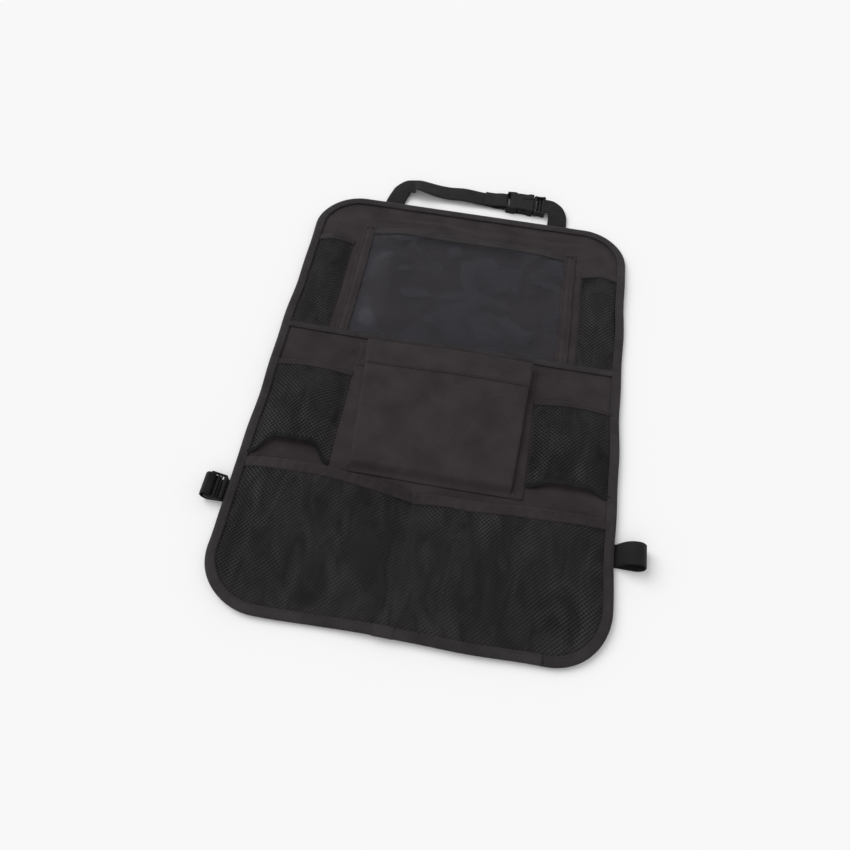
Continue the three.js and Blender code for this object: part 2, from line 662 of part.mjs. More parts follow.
function lowerBand() {
  return sheet('lower_pocket_band', ELASTIC_FABRIC, lowerSurface, lowerColumns(), [1 - LOWER_BAND, 1],
    TAPE_LOW, TAPE_HIGH);
}

// Handle webbing
const SOCKET_MIDDLE_Z = SOCKET_HEIGHT / 2;
const PLUG_START = BUCKLE_X + SOCKET_LENGTH + PLUG_GAP;
const PLUG_END = PLUG_START + PLUG_BASE_LENGTH;

// Soft turns of the handle from a leg to its run. Each step gives the inner edge, towards the run and up
// from the inner corner, the angle of the webbing's width, and the heights of the outer and inner edge.
const TURN_LEFT = [
  [-4.5, -10.5, 0, 1.2, 1.6], [-1.5, -2.5, 11, 2, 4], [0, 1, 25, 2.6, 5.9],
  [2.5, 0.5, 59, 6, 6.8], [9.5, 0, 85, 6.2, 6], [22.5, 0, 90, 3.4, 3.4],
];
const TURN_RIGHT = [
  [-2, -12, 0, 1.4, 2.2], [-1.5, -5, 16, 2.6, 4.4], [-0.4, -1, 44, 4, 5.4], [0.8, 0, 74, 5.4, 6],
];

// A strap leg that rises from behind the panel and turns into the handle's run, which goes to the right
// for a heading of 1 and to the left for -1.
function legStations(cornerX, lean, heading, turn) {
  const cornerY = HANDLE_RUN_Y - WEBBING_WIDTH / 2;
  const leg = [
    [-lean, PANEL_HEIGHT - HANDLE_SEWN_LENGTH - cornerY, 0, 0, 0],
    [-lean, PANEL_HEIGHT + GAP - cornerY, 0, 0, 0],
  ];
  return [...leg, ...turn].map(([towards, up, angle, outerRise, innerRise]) => {
    const radians = THREE.MathUtils.degToRad(angle);
    const inner = new THREE.Vector3(cornerX + heading * towards, cornerY + up, SEWN_END_LEVEL + innerRise);
    const outer = new THREE.Vector3(inner.x - heading * WEBBING_WIDTH * Math.cos(radians),
      inner.y + WEBBING_WIDTH * Math.sin(radians), SEWN_END_LEVEL + outerRise);
    const [near, far] = heading > 0 ? [outer, inner] : [inner, outer];
    return { near, far, face: new THREE.Vector3(0, 0, 1) };
  });
}

function handleLong() {
  const stations = legStations(HANDLE_CORNER_LEFT_X, HANDLE_LEAN_LEFT, 1, TURN_LEFT);
  const barX = BUCKLE_X + SOCKET_BAR / 2;
  const turn = SOCKET_BAR / Math.SQRT2 + GAP + WEBBING_THICKNESS / 2;
  const under = SOCKET_MIDDLE_Z - turn;
  const over = SOCKET_MIDDLE_Z + turn;
  const rest = HANDLE_REST + STRAP_LEVEL;
  const path = [
    [HANDLE_CORNER_LEFT_X + 34, rest + 2], [HANDLE_CORNER_LEFT_X + 52, rest],
    [HANDLE_CORNER_LEFT_X + 74, rest + 1.8], [BUCKLE_X - 34, rest + 1.2], [BUCKLE_X - 14, under],
    ...arc(barX, SOCKET_MIDDLE_Z, turn, -90, 90, 8),
    [BUCKLE_X - 8, over - 0.5], [BUCKLE_X - 20, under + WEBBING_THICKNESS + GAP + 0.9],
    [BUCKLE_X - 28, under + WEBBING_THICKNESS + GAP + 0.1],
  ];
  const place = (along, side, height) => new THREE.Vector3(along, HANDLE_RUN_Y - side, height);
  const run = pathStations(path, place, WEBBING_WIDTH);
  return ribbon('handle_strap_long', WEBBING, [...stations, ...run], WEBBING_THICKNESS);
}

function handleShort() {
  const stations = legStations(HANDLE_CORNER_RIGHT_X, HANDLE_LEAN_RIGHT, -1, TURN_RIGHT);
  const barTop = SOCKET_MIDDLE_Z + PLUG_BAR_HALF_HEIGHT + GAP + WEBBING_THICKNESS / 2;
  const [middleFrom, middleTo] = plugMiddleBar();
  const innerSlot = (middleFrom + PLUG_START + PLUG_SHOULDER) / 2;
  const path = [
    [PLUG_END + TAIL_LENGTH, barTop],
    ...weave(PLUG_END - PLUG_BAR, middleTo, middleFrom, innerSlot, SOCKET_MIDDLE_Z, PLUG_BAR_HALF_HEIGHT, -1),
  ];
  const place = (along, side, height) => new THREE.Vector3(along, HANDLE_RUN_Y + side, height);
  const run = pathStations(path, place, WEBBING_WIDTH).map((station) => ({
    near: station.near, far: station.far, face: station.face.negate(),
  }));
  return ribbon('handle_strap_short', WEBBING, [...stations, ...run], WEBBING_THICKNESS);
}

// Side release buckle
const rounded = (halfX, halfY, cut) => [
  [halfX - cut, -halfY], [halfX, -halfY + cut], [halfX, halfY - cut], [halfX - cut, halfY],
  [-halfX + cut, halfY], [-halfX, halfY - cut], [-halfX, -halfY + cut], [-halfX + cut, -halfY],
];
const mirrored = (points) => [...points, ...points.map(([x, y]) => [x, -y]).reverse()];

function buckleSocket() {
  const start = BUCKLE_X;
  const end = BUCKLE_X + SOCKET_LENGTH;
  const half = SOCKET_WIDTH / 2;
  const cavityStart = start + SOCKET_BAR + SOCKET_SLOT + SOCKET_BRIDGE;
  const half2 = half - 1.6;
  // The sides dip where a finger and thumb press the arms.
  const body = plate(mirrored([
    [start, half - 3.2], [start + 2, half - 1.2], [start + 8, half - 0.4], [start + 14, half],
    [start + WINDOW_START, half2], [start + WINDOW_START + WINDOW_LENGTH, half2],
    [start + WINDOW_START + WINDOW_LENGTH + 3, half], [end - 1.2, half], [end, half - 1.2],
  ].reverse()), 0, SOCKET_HEIGHT, BUCKLE_ROUNDING);
  const inner = half - SOCKET_WALL;
  const cavity = block(cavityStart, end + 1, -inner, inner, SOCKET_WALL, SOCKET_HEIGHT - SOCKET_WALL);
  const slot = block(start + SOCKET_BAR, start + SOCKET_BAR + SOCKET_SLOT,
    -WEBBING_WIDTH / 2 - GAP * 2, WEBBING_WIDTH / 2 + GAP * 2, -1, SOCKET_HEIGHT + 1);
  const windows = [-1, 1].map((side) => block(start + WINDOW_START, start + WINDOW_START + WINDOW_LENGTH,
    Math.min(side * (inner - 2), side * (half + 2)), Math.max(side * (inner - 2), side * (half + 2)),
    SOCKET_WALL, SOCKET_HEIGHT - SOCKET_WALL));
  const relief = plate([
    [start + 24, -5.5], [end + 2, -8], [end + 2, 8], [start + 24, 5.5],
  ], SOCKET_HEIGHT - 0.7, SOCKET_HEIGHT + 1, 0);
  const solid = body.subtract(cavity).subtract(slot).subtract(windows[0]).subtract(windows[1]).subtract(relief);
  const barTrim = [
    block(start - 1, start + SOCKET_BAR, -half - 1, half + 1, SOCKET_MIDDLE_Z + SOCKET_BAR / 2, SOCKET_HEIGHT + 1),
    block(start - 1, start + SOCKET_BAR, -half - 1, half + 1, -1, SOCKET_MIDDLE_Z - SOCKET_BAR / 2),
  ];
  const cut = solid.subtract(barTrim[0]).subtract(barTrim[1]);
  const mesh = meshFromManifold('buckle_socket', BUCKLE_PLASTIC, cut);
  mesh.position.y = HANDLE_RUN_Y;
  return mesh;
}

function plugMiddleBar() {
  const inner = PLUG_START + PLUG_SHOULDER;
  const outer = PLUG_END - PLUG_BAR;
  const centre = (inner + outer) / 2;
  return [centre - PLUG_BAR / 2, centre + PLUG_BAR / 2];
}

function bucklePlug() {
  const low = SOCKET_MIDDLE_Z - PLUG_HEIGHT / 2;
  const high = SOCKET_MIDDLE_Z + PLUG_HEIGHT / 2;
  const half = PLUG_WIDTH / 2;
  const baseOutline = mirrored([
    [PLUG_START, half - 2.4], [PLUG_START + 2, half - 0.6], [PLUG_START + 6, half - 1.6],
    [PLUG_END - 4, half - 0.8], [PLUG_END - 1.4, half], [PLUG_END, half - 1.4],
  ].reverse());
  const base = plate(baseOutline, low, high, BUCKLE_ROUNDING);
  const [middleFrom, middleTo] = plugMiddleBar();
  const slotHalf = half - PLUG_RAIL;
  const slots = [
    block(PLUG_START + PLUG_SHOULDER, middleFrom, -slotHalf, slotHalf, low - 1, high + 1),
    block(middleTo, PLUG_END - PLUG_BAR, -slotHalf, slotHalf, low - 1, high + 1),
  ];
  const thin = PLUG_BAR_HALF_HEIGHT;
  const trims = [
    block(middleFrom - 1, PLUG_END + 1, -slotHalf, slotHalf, SOCKET_MIDDLE_Z + thin, high + 1),
    block(middleFrom - 1, PLUG_END + 1, -slotHalf, slotHalf, low - 1, SOCKET_MIDDLE_Z - thin),
  ];
  const frame = base.subtract(slots[0]).subtract(slots[1]).subtract(trims[0]).subtract(trims[1]);
  const armLow = SOCKET_WALL + BUCKLE_CLEARANCE;
  const armHigh = SOCKET_HEIGHT - SOCKET_WALL - BUCKLE_CLEARANCE;
  const windowFrom = BUCKLE_X + WINDOW_START + BUCKLE_CLEARANCE;
  const windowTo = BUCKLE_X + WINDOW_START + WINDOW_LENGTH - BUCKLE_CLEARANCE;
  const root = PLUG_START + 1;
  const headOut = SOCKET_WIDTH / 2 - 1.2;
  const inner = SOCKET_WIDTH / 2 - SOCKET_WALL - BUCKLE_CLEARANCE;
  // Each arm springs from the shoulder and ends in a hooked head that stands in the side window.
  const arm = plate([
    [root, ARM_SPREAD], [root, ARM_SPREAD + ARM_WIDTH + 0.8], [PLUG_START - 4, ARM_SPREAD + ARM_WIDTH],
    [windowTo + 1.2, inner - 0.4], [windowTo, inner], [windowTo, headOut], [windowTo - 4, headOut],
    [windowFrom + 1, inner + 0.6], [windowFrom, inner - 1.4],
    [windowFrom - 0.6 + BUCKLE_CLEARANCE, inner - LATCH_BAR], [windowFrom + 4, inner - LATCH_BAR - 0.6],
    [windowTo, inner - LATCH_BAR], [PLUG_START - 4, ARM_SPREAD + 0.4],
  ].reverse(), armLow, armHigh, 0);
  const otherArm = arm.mirror([0, 1, 0]);
  const guide = plate([
    [root, -GUIDE_WIDTH / 2 - 0.8], [root, GUIDE_WIDTH / 2 + 0.8], [PLUG_START - 5, GUIDE_WIDTH / 2],
    [BUCKLE_X + WINDOW_START - 1, GUIDE_WIDTH / 2], [BUCKLE_X + WINDOW_START - 3, 0.9],
    [BUCKLE_X + WINDOW_START - 3, -0.9], [BUCKLE_X + WINDOW_START - 1, -GUIDE_WIDTH / 2],
    [PLUG_START - 5, -GUIDE_WIDTH / 2],
  ].reverse(), armLow + 1, armHigh - 1, 0);
  const mesh = meshFromManifold('buckle_plug', BUCKLE_PLASTIC, frame.add(arm).add(otherArm).add(guide));
  mesh.position.y = HANDLE_RUN_Y;
  return mesh;
}

// Lower webbing and ladder lock
const SIDE = PANEL_WIDTH / 2;
const LOCK_INNER_X = -SIDE - LOCK_STANDOFF;
const LOCK_OUTER_X = LOCK_INNER_X - LOCK_LENGTH + 2 * LOCK_BAR_HALF;
const LOCK_MIDDLE_X = (LOCK_INNER_X + LOCK_OUTER_X) / 2;
const LOCK_ANGLE = THREE.MathUtils.degToRad(LOCK_TILT);

// The lock stands up from its inner bar, as the loop holds it. A path point turns with it.
const tilted = ([along, height]) => {
  const across = along - LOCK_INNER_X;
  const up = height - LOCK_BAR_Z;
  return [
    LOCK_INNER_X + across * Math.cos(LOCK_ANGLE) + up * Math.sin(LOCK_ANGLE),
    LOCK_BAR_Z - across * Math.sin(LOCK_ANGLE) + up * Math.cos(LOCK_ANGLE),
  ];
};

function ladderLock() {
  const low = -LOCK_BAR_HALF;
  const high = LOCK_BAR_HALF;
  const slotHalf = LOCK_WIDTH / 2 - LOCK_RAIL;
  const body = plate(rounded(LOCK_LENGTH / 2, LOCK_WIDTH / 2, LOCK_CORNER), low, high, LOCK_ROUNDING);
  const bars = [LOCK_OUTER_X, LOCK_MIDDLE_X, LOCK_INNER_X].map((x) => x - LOCK_MIDDLE_X);
  const slots = [[bars[0], bars[1]], [bars[1], bars[2]]].map(([before, after]) =>
    block(before + LOCK_BAR_HALF, after - LOCK_BAR_HALF, -slotHalf, slotHalf, low - 1, high + 1));
  const mesh = meshFromManifold('ladder_lock', BUCKLE_PLASTIC, body.subtract(slots[0]).subtract(slots[1]));
  const [middleX, middleZ] = tilted([LOCK_MIDDLE_X, LOCK_BAR_Z]);
  mesh.position.set(middleX, LOWER_STRAP_Y, middleZ);
  mesh.rotation.y = LOCK_ANGLE;
  return mesh;
}

// A folded tab goes round the inner bar; both its ends are sewn behind the panel.
function ladderLockTab() {
  const turn = LOCK_BAR_HALF * Math.SQRT2 + GAP + TAB_THICKNESS / 2;
  const upper = 2 * WEBBING_THICKNESS + GAP - TAB_THICKNESS / 2;
  const lower = WEBBING_THICKNESS + GAP + TAB_THICKNESS / 2;
  const bend = LOCK_INNER_X + turn;
  const path = [
    [-SIDE + TAB_SEWN_LENGTH, upper], [-SIDE + GAP, upper], [lerp(-SIDE, bend, 0.7), upper + GAP],
    [bend, upper + 4 * GAP], ...arc(LOCK_INNER_X, LOCK_BAR_Z, turn, 0, 245, 10),
    [bend - turn / 2 - GAP, upper], [-SIDE + GAP, lower], [-SIDE + TAB_SEWN_LENGTH, lower],
  ];
  const place = (along, side, height) => new THREE.Vector3(along, LOWER_STRAP_Y - side, height);
  const width = LOCK_WIDTH - 2 * LOCK_RAIL - 4 * GAP;
  return ribbon('ladder_lock_tab', WEBBING, pathStations(path, place, width), TAB_THICKNESS);
}

// One webbing: sewn behind the right edge, round a loop, behind the panel and into the ladder lock.
function lowerStrap() {
  const loopRight = (LOOP_HEIGHT_RIGHT - WEBBING_THICKNESS) / 2;
  const loopLeft = (LOOP_HEIGHT_LEFT - WEBBING_THICKNESS) / 2;
  const turnX = SIDE + LOOP_REACH_RIGHT - WEBBING_THICKNESS / 2 - loopRight;
  const turnLeftX = -SIDE - LOOP_REACH_LEFT + WEBBING_THICKNESS / 2 + loopLeft;
  const tabSide = LOCK_INNER_X - LOCK_BAR_HALF * Math.SQRT2 - GAP - TAB_THICKNESS;
  const innerSlot = (LOCK_MIDDLE_X + LOCK_BAR_HALF + tabSide) / 2;
  const path = [
    [LOWER_STRAP_SEWN_X, SEWN_END_LEVEL], [SIDE + 0.6, SEWN_END_LEVEL],
    ...LOOP_RISE_RIGHT.map(([along, height]) =>
      [SIDE + along * LOOP_REACH_RIGHT, lerp(SEWN_END_LEVEL, STRAP_LEVEL + 2 * loopRight, height)]),
    ...arc(turnX, STRAP_LEVEL + loopRight, loopRight, 90, -90, 8),
    [SIDE - 4, STRAP_LEVEL], [-SIDE + 4, STRAP_LEVEL],
    ...arc(turnLeftX, STRAP_LEVEL + loopLeft, loopLeft, 270, LOOP_END_LEFT, 7),
    tilted([LOCK_OUTER_X, LOCK_BAR_Z + LOCK_BAR_HALF + GAP + WEBBING_THICKNESS / 2]),
    ...weave(LOCK_OUTER_X + LOCK_BAR_HALF, LOCK_MIDDLE_X - LOCK_BAR_HALF,
      LOCK_MIDDLE_X + LOCK_BAR_HALF, innerSlot, LOCK_BAR_Z, LOCK_BAR_HALF, 1).map(tilted),
  ];
  const place = (along, side, height) => new THREE.Vector3(along, LOWER_STRAP_Y - side, height);
  return ribbon('lower_strap', WEBBING, pathStations(path, place, WEBBING_WIDTH), WEBBING_THICKNESS);
}

// Assembly
// The model's origin is under the middle of everything it covers on the ground.
const LEFT_REACH = -SIDE - LOOP_REACH_LEFT;
const RIGHT_REACH = SIDE + LOOP_REACH_RIGHT;
const FAR_REACH = HANDLE_RUN_Y + PLUG_WIDTH / 2;

const organizer = new THREE.Group();
organizer.position.set(-(LEFT_REACH + RIGHT_REACH) / 2, -FAR_REACH / 2, 0);
organizer.add(
  backPanel(),
  edgeBinding(),
  rowSeamTape(),
  windowFilm(),
  windowTopBand(),
  windowStrip('window_strip_left', -1),
  windowStrip('window_strip_right', 1),
  penPocket('pen_pocket_left', -1, PEN_RISE_LEFT),
  penHem('pen_hem_left', -1, PEN_RISE_LEFT),
  penPocket('pen_pocket_right', 1, PEN_RISE_RIGHT),
  penHem('pen_hem_right', 1, PEN_RISE_RIGHT),
  drinkPocket('drink_pocket_left', -1, DRINK_RISE_LEFT, DRINK_BOTTOM_LEFT, DRINK_ARCH_LEFT),
  drinkTopBand('drink_band_left', -1, DRINK_RISE_LEFT, DRINK_BOTTOM_LEFT, DRINK_ARCH_LEFT),
  drinkElastic('drink_elastic_left', -1, DRINK_RISE_LEFT, DRINK_BOTTOM_LEFT, DRINK_ARCH_LEFT),
  drinkPocket('drink_pocket_right', 1, DRINK_RISE_RIGHT, DRINK_BOTTOM_RIGHT, DRINK_ARCH_RIGHT),
  drinkTopBand('drink_band_right', 1, DRINK_RISE_RIGHT, DRINK_BOTTOM_RIGHT, DRINK_ARCH_RIGHT),
  drinkElastic('drink_elastic_right', 1, DRINK_RISE_RIGHT, DRINK_BOTTOM_RIGHT, DRINK_ARCH_RIGHT),
  centrePocket(),
  centreHem(),
  lowerPocket(),
  lowerBand(),
  handleLong(),
  handleShort(),
  buckleSocket(),
  bucklePlug(),
  lowerStrap(),
  ladderLock(),
  ladderLockTab(),
);

const model = new THREE.Group();
model.add(organizer);
export default model;
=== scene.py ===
"""Car seat back organizer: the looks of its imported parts.

Lengths are millimetres in the panel's own frame: x from its centre line, y from its bottom edge
and z from the ground. to_frame turns them to metres in the shared frame.
"""

import logging
import math
from dataclasses import dataclass, field
from enum import Enum
from typing import Any, Callable, Mapping, Optional, Sequence

import bpy
import numpy as np
from mathutils import Matrix, Vector


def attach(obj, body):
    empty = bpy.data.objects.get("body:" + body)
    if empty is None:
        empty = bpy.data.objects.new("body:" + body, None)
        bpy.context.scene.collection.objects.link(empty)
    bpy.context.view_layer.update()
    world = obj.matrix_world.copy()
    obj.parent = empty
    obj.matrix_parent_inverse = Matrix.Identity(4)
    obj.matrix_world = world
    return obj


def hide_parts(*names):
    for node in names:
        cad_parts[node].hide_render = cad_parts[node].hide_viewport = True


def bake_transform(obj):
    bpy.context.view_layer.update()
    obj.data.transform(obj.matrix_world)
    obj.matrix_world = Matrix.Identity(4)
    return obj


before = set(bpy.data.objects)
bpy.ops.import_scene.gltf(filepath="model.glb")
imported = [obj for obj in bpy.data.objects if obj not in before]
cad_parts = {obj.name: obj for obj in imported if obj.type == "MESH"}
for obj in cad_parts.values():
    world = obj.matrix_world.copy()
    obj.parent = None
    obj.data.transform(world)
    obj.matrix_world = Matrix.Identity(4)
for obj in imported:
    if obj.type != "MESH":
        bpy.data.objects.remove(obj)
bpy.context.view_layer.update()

LOG = logging.getLogger("organizer")

ORIGIN = np.array([3.25, 326.0, 0.0])
MILLIMETRE = 0.001
CLOTH_MAP = "cloth_mm"
ORGANIZER = "organizer"

HeightField = Callable[[np.ndarray, np.ndarray], np.ndarray]


# Shared sizes
@dataclass(frozen=True)
class PanelSizes:
    """Sizes of the panel that every other piece is set against."""

    width: float = 420.0
    height: float = 600.0
    top_radius: float = 59.0
    bottom_radius: float = 65.0
    binding_width: float = 11.0
    edge_inset: float = 0.9
    gap: float = 0.3
    seam_allowance: float = 3.0
    row_seam_y: float = 362.5
    row_seam_width: float = 8.0
    corner_steps: int = 32
    side_steps: int = 150
    end_steps: int = 96

    @property
    def under_binding(self) -> float:
        """Width of a pocket's edge that the binding covers."""
        return self.binding_width - self.edge_inset + self.gap

    @property
    def row_bottom(self) -> float:
        """Height on the panel at which the upper pockets start."""
        return self.row_seam_y - self.row_seam_width / 2 + self.gap

    def half_width(self, y: np.ndarray, inset: float) -> np.ndarray:
        """Give half the width between the side edges.

        Args:
            y: Heights on the panel.
            inset: How far the outline is drawn in.

        Returns:
            Half widths at those heights.
        """
        half = self.width / 2 - inset
        low = self.bottom_radius - inset
        high = self.top_radius - inset
        drop = np.clip(inset + low - y, 0, low)
        over = np.clip(y - (self.height - inset - high), 0, high)
        return half - low + np.sqrt(low**2 - drop**2) - high + np.sqrt(high**2 - over**2)

    def outline(self, inset: float) -> np.ndarray:
        """Give the panel's outline drawn in by an inset, anticlockwise from the lower right corner.

        Args:
            inset: How far the outline is drawn in.

        Returns:
            Points in the plane, as many for every inset.
        """
        half = self.width / 2 - inset
        top = self.height - inset
        corners = (
            (half, inset, self.bottom_radius - inset, -90, self.side_steps),
            (half, top, self.top_radius - inset, 0, self.end_steps),
            (-half, top, self.top_radius - inset, 90, self.side_steps),
            (-half, inset, self.bottom_radius - inset, 180, self.end_steps),
        )
        arcs = []
        for x, y, radius, start, _ in corners:
            centre = (x - math.copysign(radius, x), y + radius if y < top / 2 else y - radius)
            turn = np.radians(np.linspace(start, start + 90, self.corner_steps + 1))
            arcs.append(centre + radius * np.stack([np.cos(turn), np.sin(turn)], 1))
        parts = []
        for index, arc in enumerate(arcs):
            following = arcs[(index + 1) % 4][0]
            share = np.linspace(0, 1, corners[index][4] + 1)[1:-1, None]
            parts += [arc, arc[-1] + (following - arc[-1]) * share]
        return np.concatenate(parts)


@dataclass(frozen=True)
class Levels:
    """Heights of the layers above the ground."""

    strap: float = 0.6
    sewn_end: float = 2.1
    binding_under: float = 3.0
    panel_under: float = 3.9
    panel_face: float = 4.8
    pocket: float = 5.4
    tape: float = 6.0


PANEL = PanelSizes()
LEVEL = Levels()
GAP = PANEL.gap
WEBBING_WIDTH = 25.0
WEBBING_THICKNESS = 1.2
TAPE_THICKNESS = 0.6
HALF_CLOTH = 0.3
SEAM_LIFT = 0.35
SLOPE_REACH = 0.2
RIM_ROUNDNESS = 0.45
UPWARD = np.array([0.0, 0.0, 1.0])


# Numbers and points
def smooth(share: np.ndarray) -> np.ndarray:
    """Ease a share from 0 to 1."""
    held = np.clip(share, 0, 1)
    return held * held * (3 - 2 * held)


def bell(values: np.ndarray, middle: float, spread: float) -> np.ndarray:
    """Give a soft hump, 1 at its middle."""
    return np.exp(-(((values - middle) / spread) ** 2))


def unit(vectors: np.ndarray) -> np.ndarray:
    """Scale vectors to length 1."""
    return vectors / np.maximum(np.linalg.norm(vectors, axis=-1, keepdims=True), 1e-12)


def run_along(points: np.ndarray) -> np.ndarray:
    """Give the length run at each point of a path."""
    return np.concatenate([[0], np.cumsum(np.linalg.norm(np.diff(points, axis=0), axis=1))])


def to_frame(points: np.ndarray) -> np.ndarray:
    """Turn panel millimetres to metres in the shared frame."""
    return (points - ORIGIN) * MILLIMETRE


def settle(points: np.ndarray) -> np.ndarray:
    """Let the cloth lie as it settled on the ground: edges that wander, and a few low waves.

    Args:
        points: Points of a soft piece.

    Returns:
        The points moved; those by the rigid ladder lock and the top edge stay where they are.
    """
    # Its numbers are the heights, places and lengths of low waves, in millimetres.
    x, y = points[..., 0], points[..., 1]
    by_lock = bell(x, -216, 34) * bell(y, 129, 34)
    free = smooth((588 - y) / 90) * (1 - np.clip(by_lock * 1.6, 0, 1))
    side = np.clip(np.abs(x) / 210, 0, 1.2) ** 2
    foot = smooth((90 - y) / 90)
    across = 0.7 * np.sin(y / 31 + 0.7 * np.sign(x)) + 0.45 * np.sin(y / 13.7 + 1.9)
    along = 1.6 * bell(x, -34, 34) - 0.9 * bell(x, 52, 40) + 0.5 * np.sin(x / 17)
    rolling = 0.9 * (1 + np.sin(x / 43 + 0.4) * np.cos(y / 57))
    lift = rolling + 1.6 * foot * bell(x, -30, 40) + 0.7 * side * (1 + np.sin(y / 38))
    moved = points.copy()
    moved[..., 0] += free * side * across
    moved[..., 1] += free * foot * along
    moved[..., 2] += free * lift
    return moved


# Mesh building
@dataclass
class MeshParts:
    """Points, four-cornered faces and cloth coordinates of a mesh that is being put together."""

    points: list[np.ndarray] = field(default_factory=list)
    faces: list[np.ndarray] = field(default_factory=list)
    cloth: list[np.ndarray] = field(default_factory=list)
    count: int = 0

    def add(self, points: np.ndarray, faces: np.ndarray, cloth: np.ndarray) -> None:
        """Add a piece of mesh.

        Args:
            points: Its points, n by 3.
            faces: Corner numbers of its faces, m by 4, counted from its own first point.
            cloth: Its points' places on the flat cloth, n by 2.
        """
        self.points.append(points)
        self.faces.append(faces + self.count)
        self.cloth.append(cloth)
        self.count += len(points)

    def to_object(self, name: str, soft: bool = True) -> bpy.types.Object:
        """Make the object.

        Args:
            name: Its name.
            soft: Whether it lies as the cloth has settled.

        Returns:
            The linked object, smooth shaded, in metres.
        """
        points = np.concatenate(self.points)
        faces = np.concatenate(self.faces)
        cloth = np.concatenate(self.cloth)
        placed = to_frame(settle(points) if soft else points)
        mesh = bpy.data.meshes.new(name)
        mesh.vertices.add(len(placed))
        mesh.vertices.foreach_set("co", placed.astype(np.float32).ravel())
        mesh.loops.add(faces.size)
        mesh.loops.foreach_set("vertex_index", faces.astype(np.int32).ravel())
        mesh.polygons.add(len(faces))
        mesh.polygons.foreach_set("loop_start", np.arange(0, faces.size, 4, dtype=np.int32))
        mesh.polygons.foreach_set("use_smooth", np.ones(len(faces), dtype=bool))
        layer = mesh.uv_layers.new(name=CLOTH_MAP)
        layer.data.foreach_set("uv", cloth[faces.ravel()].astype(np.float32).ravel())
        mesh.update(calc_edges=True)
        mesh.validate()
        made = bpy.data.objects.new(name, mesh)
        bpy.context.scene.collection.objects.link(made)
        return made


def grid_faces(rows: int, columns: int) -> np.ndarray:
    """Give the faces of a grid whose points run along its rows."""
    corner = (np.arange(rows - 1)[:, None] * columns + np.arange(columns - 1)).ravel()
    return np.stack([corner, corner + 1, corner + columns + 1, corner + columns], 1)


def grid_normals(grid: np.ndarray) -> np.ndarray:
    """Give the upward normals of a grid of points."""
    return unit(np.cross(np.gradient(grid, axis=1), np.gradient(grid, axis=0)))


def slab(
    grid: np.ndarray,
    low: float,
    high: float,
    cloth: np.ndarray,
    normals: Optional[np.ndarray] = None,
) -> MeshParts:
    """Make a closed sheet with a rounded rim.

    Args:
        grid: Points of its surface, rows by columns by 3.
        low: Offset of its lower face.
        high: Offset of its upper face.
        cloth: Places on the flat cloth, rows by columns by 2.
        normals: Ways up, where the grid's own don't serve.

    Returns:
        The sheet's mesh.
    """
    rows, columns, _ = grid.shape
    up = grid_normals(grid) if normals is None else normals
    number = np.arange(rows * columns).reshape(rows, columns)
    ring = np.concatenate([number[0, :-1], number[:-1, -1], number[-1, :0:-1], number[:0:-1, 0]])
    within = [
        np.clip(place, 1, max(1, count - 2)) if count > 2 else count - 1 - place
        for place, count in zip(np.divmod(ring, columns), (rows, columns))
    ]
    flat = grid.reshape(-1, 3)
    away = unit(flat[ring] - grid[within[0], within[1]])
    middle = flat[ring] + up.reshape(-1, 3)[ring] * (low + high) / 2 + away * (high - low) * RIM_ROUNDNESS
    total = rows * columns
    upper, lower = ((grid + up * offset).reshape(-1, 3) for offset in (high, low))
    faces = grid_faces(rows, columns)
    rim = 2 * total + np.arange(len(ring))
    after = np.roll(np.arange(len(ring)), -1)
    edge_low = np.stack([total + ring, total + ring[after], rim[after], rim], 1)
    edge_high = np.stack([rim, rim[after], ring[after], ring], 1)
    places = cloth.reshape(-1, 2)
    parts = MeshParts()
    parts.add(
        np.concatenate([upper, lower, middle]),
        np.concatenate([faces, faces[:, ::-1] + total, edge_low, edge_high]),
        np.concatenate([places, places, places[ring]]),
    )
    return parts


def tubes(centres: np.ndarray, ways: np.ndarray, ups: np.ndarray, radii: np.ndarray, sides: int) -> MeshParts:
    """Make many short closed threads at once.

    Args:
        centres: Points along them, threads by rings by 3.
        ways: Their directions there.
        ups: Ways up there.
        radii: Half thickness at each ring.
        sides: Corners of their section, an even number.

    Returns:
        The threads' mesh.
    """
    threads, rings, _ = centres.shape
    across = unit(np.cross(ups, ways))
    above = unit(np.cross(ways, across))
    turn = np.linspace(0, 2 * np.pi, sides, endpoint=False)
    spread = np.cos(turn)[:, None] * across[..., None, :] + np.sin(turn)[:, None] * above[..., None, :]
    points = centres[..., None, :] + spread * radii[None, :, None, None]
    side = np.arange(sides)
    ring = np.arange(rings - 1)[:, None] * sides
    next_side = (side + 1) % sides
    wall = np.stack([ring + side, ring + sides + side, ring + sides + next_side, ring + next_side], -1)
    cap = [[0, step, step + 1, step + 2] for step in range(1, sides - 2, 2)]
    start = np.array(cap)
    end = start[:, ::-1] + (rings - 1) * sides
    one = np.concatenate([wall.reshape(-1, 4), start, end])
    faces = (one[None] + (np.arange(threads) * rings * sides)[:, None, None]).reshape(-1, 4)
    length = np.linspace(0, 3, rings)[None, :, None] + np.zeros((threads, 1, sides))
    place = np.stack([turn[None, None, :] + np.zeros((threads, rings, 1)), length], -1)
    parts = MeshParts()
    parts.add(points.reshape(-1, 3), faces, place.reshape(-1, 2))
    return parts


def join(*several: MeshParts) -> MeshParts:
    """Put meshes together as one."""
    whole = MeshParts()
    for parts in several:
        whole.add(np.concatenate(parts.points), np.concatenate(parts.faces), np.concatenate(parts.cloth))
    return whole


